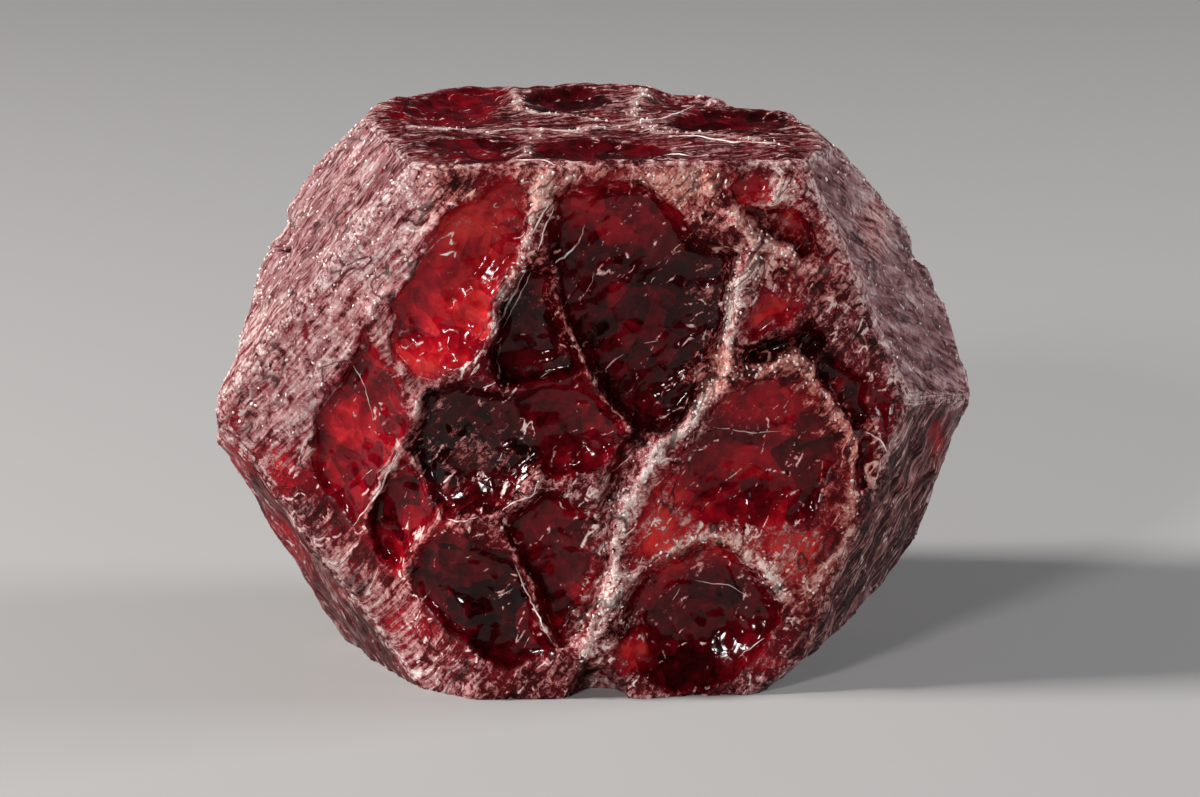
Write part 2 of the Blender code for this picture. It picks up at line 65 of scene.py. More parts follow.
# %% Face angles and distances, in millimetres and degrees
HEIGHT = 26.4
SPARE = 1.0
MIDDLE = Vector((0.0, 0.0, HEIGHT / 2))
CRYSTAL_FACES = {
    "top": (0, 90, HEIGHT / 2),
    "foot": (0, -90, HEIGHT / 2 + SPARE),
    "front": (4, 1, 7.8),
    "front_left": (-33.5, -1.5, 10.6),
    "front_right": (23.5, 0, 10.35),
    "upper_left": (-77, 30, 15.4),
    "shoulder_left": (-100, 46, 17.8),
    "left": (-95, 9, 18.0),
    "under_left": (-84, -22, 18.2),
    "lower_left": (-64, -27.5, 15.5),
    "upper_right": (70.5, 18.5, 15.4),
    "shoulder_right": (100, 42, 16.75),
    "right": (95, 6, 18.9),
    "under_right": (84, -16, 17.9),
    "lower_right": (63, -16, 14.9),
    "foot_right": (72, -55, 16.3),
    "back": (178, 14, 14.8),
    "back_low": (182, -18, 15.5),
    "back_left": (-135, 30, 18.4),
    "back_left_low": (-128, -28, 16.2),
    "back_right": (126, 31, 16.5),
    "back_right_low": (126, -26, 16.2),
}


def direction(azimuth, tilt):
    """Unit vector that points out at an azimuth from the front and a tilt above level."""
    a = math.radians(azimuth)
    t = math.radians(tilt)
    return Vector((math.sin(a) * math.cos(t), -math.cos(a) * math.cos(t), math.sin(t)))


print(len(CRYSTAL_FACES), "crystal faces")

# %% [markdown]
# ## Cleaving the block
# A jeweller cleaves a stone with flat cuts. `bisect_plane` is that cut: it splits the mesh on a
# plane, and `clear_outer` throws the chip away. The open cut is then filled with one new face.


# %% Cut the block down by every face
def cleaved_stone(block=80.0):
    work = bmesh.new()
    bmesh.ops.create_cube(work, size=block)
    bmesh.ops.translate(work, verts=work.verts, vec=MIDDLE)
    for azimuth, tilt, reach in CRYSTAL_FACES.values():
        outwards = direction(azimuth, tilt)
        bmesh.ops.bisect_plane(work, geom=work.verts[:] + work.edges[:] + work.faces[:],
                               plane_co=MIDDLE + outwards * reach, plane_no=outwards,
                               clear_outer=True)
        bmesh.ops.contextual_create(work, geom=[edge for edge in work.edges if edge.is_boundary])
    bmesh.ops.recalc_face_normals(work, faces=work.faces)
    mesh = bpy.data.meshes.new("cleaved")
    work.to_mesh(mesh)
    work.free()
    return mesh


def evenly_meshed(mesh, spacing):
    """The same closed shape, in a skin of small even squares."""
    holder = bpy.data.objects.new("holder", mesh)
    bpy.context.scene.collection.objects.link(holder)
    skin = holder.modifiers.new("even skin", "REMESH")
    skin.mode = "VOXEL"
    skin.voxel_size = spacing
    graph = bpy.context.evaluated_depsgraph_get()
    graph.update()
    result = bpy.data.meshes.new_from_object(holder.evaluated_get(graph))
    bpy.data.objects.remove(holder)
    return result


def point_array(mesh, kind="co"):
    flat = np.empty(len(mesh.vertices) * 3, np.float32)
    mesh.vertices.foreach_get(kind, flat)
    return flat.reshape(-1, 3).astype(float)


def set_points(mesh, points):
    mesh.vertices.foreach_set("co", points.astype(np.float32).ravel())
    mesh.update()


COARSE_SPACING = 0.30
cleaved = cleaved_stone()
body = evenly_meshed(cleaved, COARSE_SPACING)
print("cleaved:", len(cleaved.polygons), "faces; even skin:", len(body.polygons), "faces")

# %% [markdown]
# ## Drawings to lay the details out on
# Hollows and veins are easiest to place on a drawing of the stone from one side, as a carver
# chalks them on the face. Every point of the stone is projected on the drawing, and is pushed in
# or out along its own line of sight, so that it stays at its place on the drawing however deep
# it goes.


# %% One sheet for each side
class Drawing:
    """A sheet across the middle of the stone, seen from one place. All in millimetres."""

    def __init__(self, azimuth, elevation, distance):
        self.distance = distance
        self.towards = np.array(direction(azimuth, elevation))
        self.across = np.array(direction(azimuth + 90, 0))
        self.up = np.cross(self.towards, self.across)
        self.centre = np.array((0.3, 0.0, 12.95))
        self.eye = self.centre + self.towards * distance

    def place(self, points):
        """Where the points appear on the sheet, and the direction from each to the eye."""
        sight = self.eye - points
        scale = self.distance / (sight @ self.towards)
        u = -(sight @ self.across) * scale
        v = -(sight @ self.up) * scale
        return u, v, sight / np.linalg.norm(sight, axis=1)[:, None]


VIEW_ELEVATION = 14
VIEW_DISTANCE = 247
DRAWINGS = {
    "front": (Drawing(0, VIEW_ELEVATION, VIEW_DISTANCE), ("front", "front_left", "front_right")),
    "left": (Drawing(-90, 0, VIEW_DISTANCE),
             ("upper_left", "shoulder_left", "left", "under_left", "lower_left")),
    "right": (Drawing(90, 0, VIEW_DISTANCE),
              ("upper_right", "shoulder_right", "right", "under_right", "lower_right", "foot_right")),
    "back": (Drawing(180, 8, VIEW_DISTANCE),
             ("back", "back_low", "back_left", "back_left_low", "back_right", "back_right_low")),
    "top": (Drawing(0, 90, 4000), ("top",)),
}
print("drawings:", ", ".join(DRAWINGS))

# %% [markdown]
# ## Hollows and panes
# Ruby has no true cleavage. It breaks in shells, so a knocked crystal is covered in shallow glassy
# hollows. Each one here is an outline on its drawing, a depth, a bowl, a lean of its floor and the
# width of its rim. The last number is a painted glow, how brightly the red is painted as lit there:
# 0 is almost black, 1 is lit right through. None is for a place that keeps its dull skin.

# %% Outline, depth, bowl, lean across and up, rim, painted glow
HOLLOWS = {
    "front": {
        "great_hollow": ([(-2.1, 10.2), (0.4, 10.7), (2.6, 10.4), (4.4, 8.6), (6.6, 7.0), (6.7, 5.0),
            (6.2, 3.0), (6.0, 1.0), (5.0, -0.6), (3.2, -1.8), (1.4, -1.4), (0.2, 0.2), (-1.6, 3.2),
            (-2.8, 6.0)], 1.7, 0.7, (-0.1, 0.06), 0.9, 0.15),
        "wedge": ([(-2.8, 6.6), (-3.8, 6.2), (-4.8, 4.2), (-5.7, 2.0), (-4.4, 0.6), (-2.0, 0.8),
            (-0.8, 1.6), (-1.9, 4.0)], 1.6, 0.5, (0.08, 0.05), 0.6, 0.15),
        "upper_left_pane": ([(-3.6, 10.7), (-3.6, 8.8), (-4.3, 6.2), (-5.0, 4.4), (-5.8, 2.6),
            (-6.8, 1.4), (-8.2, 0.9), (-9.6, 1.5), (-10.4, 2.6), (-10.2, 4.4), (-9.0, 6.6), (-7.4, 9.2),
            (-5.6, 10.5)], 0.4, 0.55, (0.03, -0.05), 0.6, 0.6),
        "left_pane": ([(-12.0, 3.8), (-11.2, 2.4), (-10.2, 1.0), (-9.5, -0.4), (-9.9, -2.2),
            (-10.7, -4.2), (-12.2, -6.0), (-13.2, -5.0), (-13.9, -3.2), (-13.9, -0.8), (-12.6, 1.2)],
            0.55, 0.6, (0.1, -0.02), 0.5, 0.38),
        "mottled_hollow": ([(-9.0, 0.2), (-6.0, 0.6), (-3.6, 0.0), (-2.2, -2.2), (-3.2, -3.6),
            (-4.8, -5.6), (-7.6, -5.9), (-8.6, -4.4), (-9.4, -2.2)], 1.0, 0.7, (0.04, 0.06), 0.9, 0.05),
        "left_shard": ([(-10.0, -2.8), (-8.8, -3.8), (-8.0, -5.2), (-8.4, -6.5), (-9.8, -8.8),
            (-10.7, -8.0), (-11.4, -5.8)], 1.1, 0.3, (0.06, 0.0), 0.4, 0.36),
        "middle_pane": ([(-4.4, 0.4), (-0.9, 1.2), (0.2, -0.1), (1.1, -1.4), (0.8, -2.8), (-0.5, -3.7),
            (-2.1, -3.9), (-3.4, -2.2)], 0.95, 0.5, (0.06, -0.08), 0.6, 0.32),
        "lower_left_pane": ([(-8.0, -6.6), (-6.4, -7.0), (-4.4, -7.4), (-3.2, -9.8), (-2.0, -12.6),
            (-4.2, -13.4), (-6.6, -12.2), (-8.4, -10.6), (-9.1, -9.0)], 0.7, 0.6, (-0.05, 0.06), 0.6,
            0.09),
        "lower_middle_pane": ([(-4.6, -6.0), (-3.2, -5.0), (-1.8, -4.7), (-0.2, -6.2), (-0.2, -8.2),
            (-0.8, -11.0), (-1.8, -12.2), (-3.4, -8.6)], 1.15, 0.5, (0.03, 0.04), 0.5, 0.3),
        "vein_trough": ([(1.4, -1.4), (2.4, -2.0), (1.2, -3.8), (0.4, -6.0), (0.1, -8.6), (-0.6, -11.4),
            (-1.8, -12.4), (-0.8, -9.6), (-0.4, -6.2), (0.2, -3.6)], 1.2, 0.2, (0, 0), 0.6, None),
        "slab_pane": ([(6.2, 0.4), (8.0, 1.0), (10.0, 0.2), (11.2, -1.8), (11.5, -4.2), (10.6, -6.0),
            (8.0, -6.3), (5.4, -6.2), (3.6, -4.6), (3.8, -2.8), (5.2, -1.2)], 0.35, 0.45, (0.02, 0.05),
            0.8, 0.36),
        "arch_hollow": ([(0.6, -11.2), (1.8, -9.4), (3.4, -8.0), (5.0, -7.2), (6.6, -7.4), (8.0, -8.6),
            (8.9, -10.2), (8.3, -12.2), (6.6, -13.9), (3.0, -14.4), (1.0, -13.0)], 0.95, 0.9,
            (0.0, -0.05), 0.5, 0.15),
        "arch_knob": ([(0.6, -12.2), (1.8, -11.6), (2.5, -12.4), (2.3, -13.6), (1.1, -13.4)], 0.65, 0.1,
            (0, 0), 0.4, 0.72),
        "foot_notch": ([(-1.2, -13.0), (0.4, -13.2), (1.3, -14.6), (0.8, -16.0), (-1.6, -16.0)], 1.7, 0.0,
            (0, 0), 0.8, None),
        "corner_pane": ([(6.5, 10.4), (7.5, 11.1), (8.6, 10.5), (8.4, 9.6), (7.2, 9.2)], 0.5, 0.45,
            (0, 0), 0.4, 0.55),
        "crescent": ([(7.2, 9.2), (8.4, 9.5), (9.4, 9.2), (10.4, 8.6), (11.0, 7.4), (10.0, 6.9),
            (8.6, 7.8)], 0.9, 0.4, (0, 0), 0.5, 0.15),
        "nook_pane": ([(7.1, 4.2), (7.9, 5.1), (9.6, 4.8), (8.9, 3.8), (7.4, 3.1)], 0.45, 0.3, (0, 0),
            0.4, 0.66),
        "nook_pit": ([(7.2, 2.9), (9.2, 3.3), (10.6, 4.0), (11.4, 2.6), (10.4, 1.9), (9.3, 2.5),
            (8.4, 1.9), (7.2, 2.0)], 1.1, 0.4, (0, 0), 0.5, 0.06),
        "right_gash": ([(10.6, 2.2), (12.0, 2.1), (13.4, 0.6), (13.1, -1.2), (12.2, -1.6), (11.2, 0.0)],
            0.9, 0.4, (0, 0), 0.5, 0.12),
        "right_shard": ([(13.2, -0.6), (13.9, 0.9), (14.8, -0.6), (14.2, -1.6)], 0.4, 0.2, (0, 0), 0.3,
            0.34),
        "edge_shard": ([(12.6, -2.4), (13.3, -2.4), (13.6, -4.0), (13.0, -4.7), (12.5, -3.4)], 0.6, 0.2,
            (0, 0), 0.3, 0.3),
    },
    "left": {
        "notch": ([(-10.0, 8.4), (-3.6, 8.2), (-2.4, 7.0), (-9.6, 6.6)], 0.8, 0.1, (0, 0), 0.6, None),
        "flank_scoop": ([(-9.5, 3.2), (-5.5, 4.0), (-4.0, 0.8), (-5.5, -2.2), (-9.0, -0.8)], 0.4, 0.5,
            (0, 0), 0.8, 0.45),
        "hind_scoop": ([(-11.0, 0.5), (-8.6, -1.6), (-9.0, -6.0), (-11.6, -4.6)], 0.6, 0.4, (0, 0), 0.6,
            0.3),
        "under_scoop": ([(-8.0, -4.4), (-4.0, -3.6), (-2.0, -7.2), (-4.4, -10.2), (-8.0, -8.6)], 0.4, 0.6,
            (0, 0), 0.7, 0.35),
    },
    "right": {
        "notch": ([(2.6, 7.8), (9.6, 7.9), (10.0, 6.3), (3.2, 6.4)], 0.7, 0.1, (0, 0), 0.6, None),
        "flank_scoop": ([(5.4, 3.4), (8.4, 2.6), (9.4, -1.2), (7.0, -3.6), (5.0, -1.0)], 0.3, 0.5, (0, 0),
            0.8, 0.4),
        "under_scoop": ([(3.4, -5.2), (7.0, -4.8), (8.0, -8.6), (5.0, -11.6), (2.4, -9.0)], 0.4, 0.6,
            (0, 0), 0.7, 0.35),
        "hind_scoop": ([(8.8, 4.4), (11.6, 2.6), (11.4, -3.2), (8.8, -4.6)], 0.5, 0.4, (0, 0), 0.6, 0.5),
    },
    "back": {
        "upper_left_scoop": ([(-9.4, 8.6), (-5.4, 11.0), (-1.0, 10.4), (0.0, 6.2), (-1.8, 2.2),
            (-6.2, 1.2), (-9.8, 4.2)], 0.8, 1.0, (0.05, -0.04), 0.7, 0.5),
        "upper_right_scoop": ([(1.2, 10.6), (6.2, 11.0), (9.2, 8.0), (8.6, 4.0), (4.0, 2.8), (1.4, 5.6)],
            0.6, 0.9, (-0.04, 0.03), 0.6, 0.25),
        "left_scoop": ([(-13.2, 3.4), (-10.8, 2.8), (-9.2, -1.0), (-10.2, -5.0), (-13.0, -5.2),
            (-14.8, -1.0)], 0.5, 0.7, (0, 0), 0.7, 0.55),
        "great_scoop": ([(-8.0, -0.4), (-3.0, 0.2), (0.6, -3.0), (-0.6, -8.0), (-5.0, -9.6),
            (-8.6, -6.0)], 1.0, 1.1, (0.05, 0.03), 0.7, 0.18),
        "right_scoop": ([(2.0, 1.6), (7.0, 2.2), (10.2, -1.0), (9.0, -6.0), (5.0, -8.0), (1.6, -4.8)],
            0.8, 1.0, (-0.04, 0.02), 0.7, 0.42),
        "far_right_scoop": ([(11.0, 3.4), (14.0, 1.0), (14.6, -2.4), (12.0, -5.2), (10.8, -2.0)], 0.5,
            0.5, (0, 0), 0.6, 0.3),
        "low_right_scoop": ([(0.8, -9.4), (5.0, -9.0), (8.4, -10.6), (6.2, -13.6), (0.4, -13.4)], 0.6,
            0.6, (0, 0), 0.6, 0.2),
        "low_left_scoop": ([(-9.0, -8.4), (-6.0, -10.4), (-2.0, -10.8), (-2.4, -13.4), (-7.0, -13.2)],
            0.5, 0.6, (0, 0), 0.6, 0.45),
    },
    "top": {
        "far_left_pane": ([(-10.6, 4.6), (-8.8, 8.8), (-6.2, 11.6), (-4.4, 11.0), (-5.4, 7.0),
            (-5.0, 3.4), (-7.4, 1.6)], 0.35, 0.35, (0, 0), 0.8, 0.4),
        "near_left_pane": ([(-8.4, -2.2), (-5.6, -1.2), (-3.8, -2.2), (-4.0, -6.6), (-6.2, -7.0),
            (-8.0, -4.6)], 0.3, 0.3, (0, 0), 0.6, 0.24),
        "middle_pane": ([(-3.2, -2.6), (0.2, -2.0), (3.2, -3.6), (3.4, -6.6), (0.4, -7.2), (-3.0, -6.4)],
            0.3, 0.3, (0, 0), 0.7, 0.16),
        "right_pane": ([(3.2, 3.2), (5.0, 5.4), (8.0, 6.0), (10.2, 3.2), (8.4, 0.2), (4.4, 0.6)], 0.35,
            0.4, (0, 0), 0.8, 0.16),
        "far_pane": ([(-3.6, 4.4), (-3.8, 9.4), (-1.0, 11.2), (0.6, 8.0), (-0.4, 4.8)], 0.25, 0.3, (0, 0),
            0.8, 0.12),
        "far_right_step": ([(2.6, 7.4), (9.0, 6.2), (13.0, 9.0), (8.0, 16.0), (3.0, 16.0)], 0.8, 0.0,
            (0.0, -0.08), 1.4, None),
    },
}
print("hollows:", sum(len(group) for group in HOLLOWS.values()))

# %% [markdown]
# ## Veins and ridges
# Between the hollows the old skin stands up as ridges, caked with pale crust. A vein is a line on
# the drawing with a height and a half-width. The last two numbers are how thickly it is crusted
# and how warm the crust is, from grey-white at 0 to orange cream at 1.

# %% Line, height, half-width, crust, warmth
VEINS = {
    "front": {
        "main_vein": ([(7.4, 6.6), (6.8, 5.4), (6.4, 3.6), (6.3, 1.8), (5.6, 0.1), (4.4, -1.4),
            (3.0, -2.4), (1.8, -3.8), (1.1, -5.4), (0.7, -7.2), (0.6, -8.8), (0.1, -10.6), (-0.8, -12.4)],
            0.45, 0.7, 1.0, 0.05),
        "arch_vein": ([(0.2, -10.8), (1.0, -9.5), (2.4, -8.5), (3.6, -7.5), (5.0, -6.9), (6.4, -7.0),
            (8.0, -8.2), (9.4, -9.9)], 0.35, 0.55, 0.95, 0.15),
        "slab_rim": ([(6.6, 1.3), (8.0, 1.5), (9.6, 2.1), (10.5, 1.0), (11.3, -0.4), (12.2, -2.0),
            (12.4, -3.6), (12.9, -5.2), (12.0, -7.4), (10.4, -9.6)], 0.35, 0.6, 0.85, 0.85),
        "spine": ([(-2.6, 11.4), (-3.1, 9.4), (-3.7, 7.4), (-4.4, 5.4), (-5.4, 3.2)], 0.35, 0.5, 0.9,
            0.15),
        "cross_ridge": ([(-2.8, 6.2), (-2.0, 3.9), (-0.9, 1.9), (0.3, 0.2), (1.4, -1.4)], 0.5, 0.6, 0.45,
            0.45),
        "left_divide": ([(-11.6, 4.4), (-11.0, 3.0), (-10.4, 1.8), (-9.6, 0.8), (-9.2, -0.8)], 0.35, 0.6,
            0.75, 0.35),
        "pane_edge": ([(-9.9, -2.2), (-10.7, -4.2), (-11.6, -5.6), (-12.4, -6.6)], 0.4, 0.4, 0.9, 0.4),
        "low_ridge": ([(-4.9, -5.9), (-4.3, -7.2), (-3.5, -8.7), (-3.0, -10.3), (-1.9, -12.6)], 0.3, 0.4,
            0.55, 0.3),
        "slant_ridge": ([(-8.1, -6.2), (-6.4, -7.1), (-4.8, -8.0), (-3.7, -8.6)], 0.25, 0.4, 0.5, 0.35),
        "low_left_divide": ([(-8.1, -5.2), (-8.5, -6.6), (-9.2, -8.0), (-9.8, -9.2)], 0.3, 0.5, 0.6, 0.3),
        "upper_belt": ([(-7.0, 11.6), (-3.0, 11.2), (2.0, 11.2), (5.6, 10.4), (6.2, 8.8)], 0.2, 0.8, 0.5,
            0.8),
        "corner_ridge": ([(6.4, 9.4), (7.6, 7.4), (8.8, 7.2), (10.0, 6.5), (11.4, 6.6)], 0.4, 0.6, 0.7,
            0.55),
        "pane_line": ([(-7.4, 8.9), (-5.6, 8.8), (-3.8, 8.5)], 0.15, 0.3, 0.5, 0.5),
    },
    "left": {
        "growth_step": ([(-10.0, 9.4), (-4.0, 9.2), (1.0, 7.6), (5.0, 4.4)], 0.12, 0.6, 0.4, 0.2),
        "flank_ridge": ([(-9.0, -1.8), (-4.0, -3.2), (0.6, -2.4), (3.0, 0.4)], 0.3, 0.7, 0.6, 0.3),
    },
    "right": {
        "growth_step": ([(-3.0, 5.6), (1.0, 3.6), (4.6, 0.0), (7.4, -3.6)], 0.12, 0.6, 0.3, 0.2),
        "flank_ridge": ([(-2.4, -3.8), (3.0, -4.4), (7.6, -4.2), (10.6, -1.6)], 0.3, 0.7, 0.5, 0.4),
    },
    "back": {
        "upright_vein": ([(0.6, 12.6), (0.7, 8.0), (0.2, 4.0), (1.2, 0.4), (1.2, -4.0), (0.2, -8.4),
            (-0.8, -13.0)], 0.4, 0.7, 0.9, 0.4),
        "cross_vein": ([(-14.0, 4.6), (-10.0, 1.6), (-6.0, 0.4), (-1.4, 1.4), (4.0, 2.4), (9.6, 2.4),
            (13.0, 3.6)], 0.35, 0.6, 0.8, 0.5),
        "low_vein": ([(-9.4, -7.2), (-5.0, -10.0), (0.2, -8.8), (5.2, -8.6), (9.6, -7.0)], 0.3, 0.6, 0.7,
            0.3),
    },
    "top": {
        "long_ray": ([(-9.6, 1.4), (-5.6, 0.4), (-2.0, 0.8), (2.0, 2.2), (3.4, 0.2), (9.2, -3.8)], 0.1,
            0.4, 1.0, 0.1),
        "far_ray": ([(2.0, 2.2), (-1.6, 3.6), (-4.4, 6.0), (-4.4, 11.6)], 0.1, 0.4, 0.95, 0.1),
        "right_ray": ([(2.0, 2.2), (1.8, 6.0), (2.2, 9.6)], 0.15, 0.6, 1.0, 0.1),
        "near_ray": ([(-4.2, -7.6), (-3.6, -5.0), (-3.4, -1.6), (-2.4, 0.8)], 0.08, 0.35, 0.8, 0.2),
    },
}
print("veins:", sum(len(group) for group in VEINS.values()))


# %% [markdown]
# ## Measuring on a drawing
# Three measures are enough to carve with: how far a point is from a line, how far inside an
# outline it is, and a soft step between two values. They work on all the points at once, as numpy
# arrays, which is far quicker than a Python loop over every point.


# %% Distances and soft steps
def smooth(value, low, high):
    """0 below low, 1 above high, and a soft step between them."""
    t = np.clip((value - low) / (high - low), 0.0, 1.0)
    return t * t * (3.0 - 2.0 * t)


def along_line(u, v, line):
    """Distance of each point from a line of straight runs."""
    nearest = np.full(u.shape, np.inf)
    for (u0, v0), (u1, v1) in zip(line, line[1:]):
        run = np.array((u1 - u0, v1 - v0))
        share = np.clip(((u - u0) * run[0] + (v - v0) * run[1]) / (run @ run), 0.0, 1.0)
        nearest = np.minimum(nearest, np.hypot(u - u0 - share * run[0], v - v0 - share * run[1]))
    return nearest


def inside_outline(u, v, outline):
    """Distance of each point from a closed outline, positive inside it."""
    closed = outline + outline[:1]
    inside = np.zeros(u.shape, bool)
    for (u0, v0), (u1, v1) in zip(closed, closed[1:]):
        if v0 != v1:
            crosses = (v0 > v) != (v1 > v)
            inside ^= crosses & (u < u0 + (v - v0) * (u1 - u0) / (v1 - v0))
    distance = along_line(u, v, closed)
    return np.where(inside, distance, -distance)


print("half way up a soft step:", smooth(0.5, 0.0, 1.0))

# %% [markdown]
# ## Rough skin and shell-like breaks
# Two textures make stone out of smooth faces. Lumps are soft random swellings, for the old skin.
# Flakes are shallow scars that meet in sharp ridges: the lowest of many small bowls is kept at
# each point, which is how one chip cuts into the next. Blender has such noises in its nodes, but
# here they move the mesh itself, so they are written in numpy, with a fixed seed for each.


# %% Soft lumps
LATTICE = 16
FAR_CORNER = 100.0


def lump_noise(points, size, seed):
    """Soft random lumps of about one size, between -1 and 1."""
    lattice = np.random.default_rng(seed).uniform(-1.0, 1.0, (LATTICE, LATTICE, LATTICE))
    scaled = points / size + FAR_CORNER
    cell = np.floor(scaled).astype(int)
    part = smooth(scaled - cell, 0.0, 1.0)
    total = np.zeros(len(points))
    for corner in np.ndindex(2, 2, 2):
        share = np.prod(np.where(corner, part, 1.0 - part), axis=1)
        at = (cell + corner) % LATTICE
        total += share * lattice[at[:, 0], at[:, 1], at[:, 2]]
    return total


print("a lump:", np.round(lump_noise(np.zeros((1, 3)), 1.0, 1), 2))


# %% Shell-like flakes
def shell_flakes(points, size, seed):
    """Shell-like scars: 0 in the middle of each shallow scar, up to about 1 on the ridges between."""
    random = np.random.default_rng(seed)
    jitter = random.uniform(0.1, 0.9, (LATTICE, LATTICE, LATTICE, 3))
    start = random.uniform(0.0, 0.35, (LATTICE, LATTICE, LATTICE))
    scaled = points / size + FAR_CORNER
    cell = np.floor(scaled).astype(int)
    lowest = np.full(len(points), np.inf)
    for step in np.ndindex(3, 3, 3):
        at = cell + step - 1
        key = tuple((at % LATTICE).T)
        reach = scaled - at - jitter[key]
        lowest = np.minimum(lowest, (reach ** 2).sum(axis=1) + start[key])
    return np.clip(lowest, 0.0, 1.0)


print("a flake:", np.round(shell_flakes(np.zeros((1, 3)), 1.0, 1), 2))

# %% Size and height of the lumps, the flakes and the breaks along a vein
LUMPS = ((8.0, 0.35), (3.0, 0.20), (1.2, 0.12))
LUMP_SHARE = {"top": 0.45}
FLAKES = ((3.4, 0.42), (1.5, 0.20))
VEIN_LEVEL = 0.75
VEIN_BREAKS = ((0.9, 0.9), (2.4, 0.5))


def surface_texture(points):
    lumps = np.zeros(len(points))
    for number, (size, height) in enumerate(LUMPS):
        lumps += height * lump_noise(points, size, number + 1)
    flakes = np.zeros(len(points))
    for number, (size, height) in enumerate(FLAKES):
        flakes += height * (shell_flakes(points, size, number + 11) - 0.4)
    broken = np.full(len(points), VEIN_LEVEL)
    for number, (size, share) in enumerate(VEIN_BREAKS):
        broken += share * lump_noise(points, size, number + 21)
    return {"lumps": lumps, "flakes": flakes, "broken": np.clip(broken, 0.0, 1.5)}


print("textures:", ", ".join(surface_texture(np.zeros((1, 3)))))

# %% [markdown]
# ## Growth lines and face shares
# A crystal face grows in layers, and their edges show on the sides as fine parallel ribs. A rib is
# a lump noise squeezed across its line and stretched along it. Near an edge a point belongs partly
# to both faces, so every face gets a share of it: a soft maximum, which is close to 1 on the face
# that the point lies on and falls away within about a millimetre of an edge.

# %% Ribs on the sides, and the share of each face
GROWTH_LINES = (0.55, 5.0, 0.09)
GROWTH_SLANT = math.radians(52)
EDGE_BLEND = 0.30


def growth_lines(points):
    """Fine ribs that rise across the side faces."""
    slope = np.array((0.0, -math.cos(GROWTH_SLANT), math.sin(GROWTH_SLANT)))
    across = np.array((1.0, 0.0, 0.0))
    width, length, height = GROWTH_LINES
    along = points @ slope
    aside = points @ np.cross(slope, across)
    stretched = np.stack([along / length, aside / width, (points @ across) / length], axis=1)
    return height * lump_noise(stretched, 1.0, 31)


def face_shares(points):
    """How much each point belongs to each crystal face, and its outward direction."""
    normals = np.array([direction(azimuth, tilt) for azimuth, tilt, _ in CRYSTAL_FACES.values()])
    reach = np.array([face[2] for face in CRYSTAL_FACES.values()])
    proud = (points - np.array(MIDDLE)) @ normals.T - reach
    shares = np.exp((proud - proud.max(axis=1)[:, None]) / EDGE_BLEND)
    shares /= shares.sum(axis=1)[:, None]
    outwards = shares @ normals
    outwards /= np.linalg.norm(outwards, axis=1)[:, None]
    return dict(zip(CRYSTAL_FACES, shares.T)), outwards


print("ribs are", GROWTH_LINES[0], "mm wide")

# %% [markdown]
# ## First carving: hollows and veins
# The hollows are cut one after the other, so a later break cuts through an earlier one. Veins are
# laid on top at the end. Before anything is measured, the places on the drawing are shaken a
# little, so that the straight outlines above come out as the ragged edges of a break.


# %% Height over the crystal face, at each place on a drawing
RAGGED = ((2.4, 0.28), (1.2, 0.26), (0.5, 0.12))


def ragged(u, v):
    """The same places on a drawing, shaken a little."""
    flat = np.stack([u, v, np.zeros(u.shape)], axis=1)
    for number, (size, amount) in enumerate(RAGGED):
        u = u + amount * lump_noise(flat, size, 61 + number)
        v = v + amount * lump_noise(flat, size, 71 + number)
    return u, v


def relief(name, u, v, texture):
    """Height of the surface over the crystal face at each place on a drawing."""
    height = np.zeros(u.shape)
    glassy = np.zeros(u.shape)
    for outline, depth, bowl, lean, rim, _ in HOLLOWS[name].values():
        inward = inside_outline(u, v, outline)
        middle = np.mean(outline, axis=0)
        floor = lean[0] * (u - middle[0]) + lean[1] * (v - middle[1]) - depth
        floor -= bowl * smooth(inward, 0.0, 2.5)
        cut = smooth(inward, -0.3 * rim, 0.7 * rim)
        height += (floor - height) * cut
        glassy = np.maximum(glassy, cut)
    for line, rise, half_width, _, _ in VEINS[name].values():
        crest = np.clip(1.0 - along_line(u, v, line) / half_width, 0.0, 1.0)
        height += rise * crest * texture["broken"]
    rough = LUMP_SHARE.get(name, 1.0) * (1.0 - 0.7 * glassy)
    return height + texture["flakes"] * glassy + texture["lumps"] * rough


print("shaken by up to", round(sum(amount for _, amount in RAGGED), 2), "mm")


# %% Move the even skin, and saw the foot flat
def broken_surface(points):
    shares, outwards = face_shares(points)
    texture = surface_texture(points)
    lines = growth_lines(points)
    moved = points.copy()
    for name, (drawing, faces) in DRAWINGS.items():
        u, v, sight = drawing.place(points)
        share = sum(shares[face] for face in faces)
        height = relief(name, *ragged(u, v), texture)
        along = sight if name in ("front", "top") else outwards
        if name in ("left", "right"):
            height = height + lines
        moved += along * (height * share)[:, None]
    return moved


def with_flat_foot(mesh):
    """Saw the stone off level at its foot, and close the cut."""
    work = bmesh.new()
    work.from_mesh(mesh)
    bmesh.ops.bisect_plane(work, geom=work.verts[:] + work.edges[:] + work.faces[:],
                           plane_co=(0, 0, 0), plane_no=(0, 0, -1), clear_outer=True)
    bmesh.ops.contextual_create(work, geom=[edge for edge in work.edges if edge.is_boundary])
    work.to_mesh(mesh)
    work.free()


set_points(body, broken_surface(point_array(body)))
with_flat_foot(body)
carved = point_array(body)
MIDDLE_SHIFT = (low_corner + high_corner) / 2 / MM - (carved.min(axis=0) + carved.max(axis=0)) / 2
MIDDLE_SHIFT[2] = low_corner[2] / MM
print("carved, mm:", np.round(carved.max(axis=0) - carved.min(axis=0), 2))
print("drawing to solid, mm:", np.round(MIDDLE_SHIFT, 3))
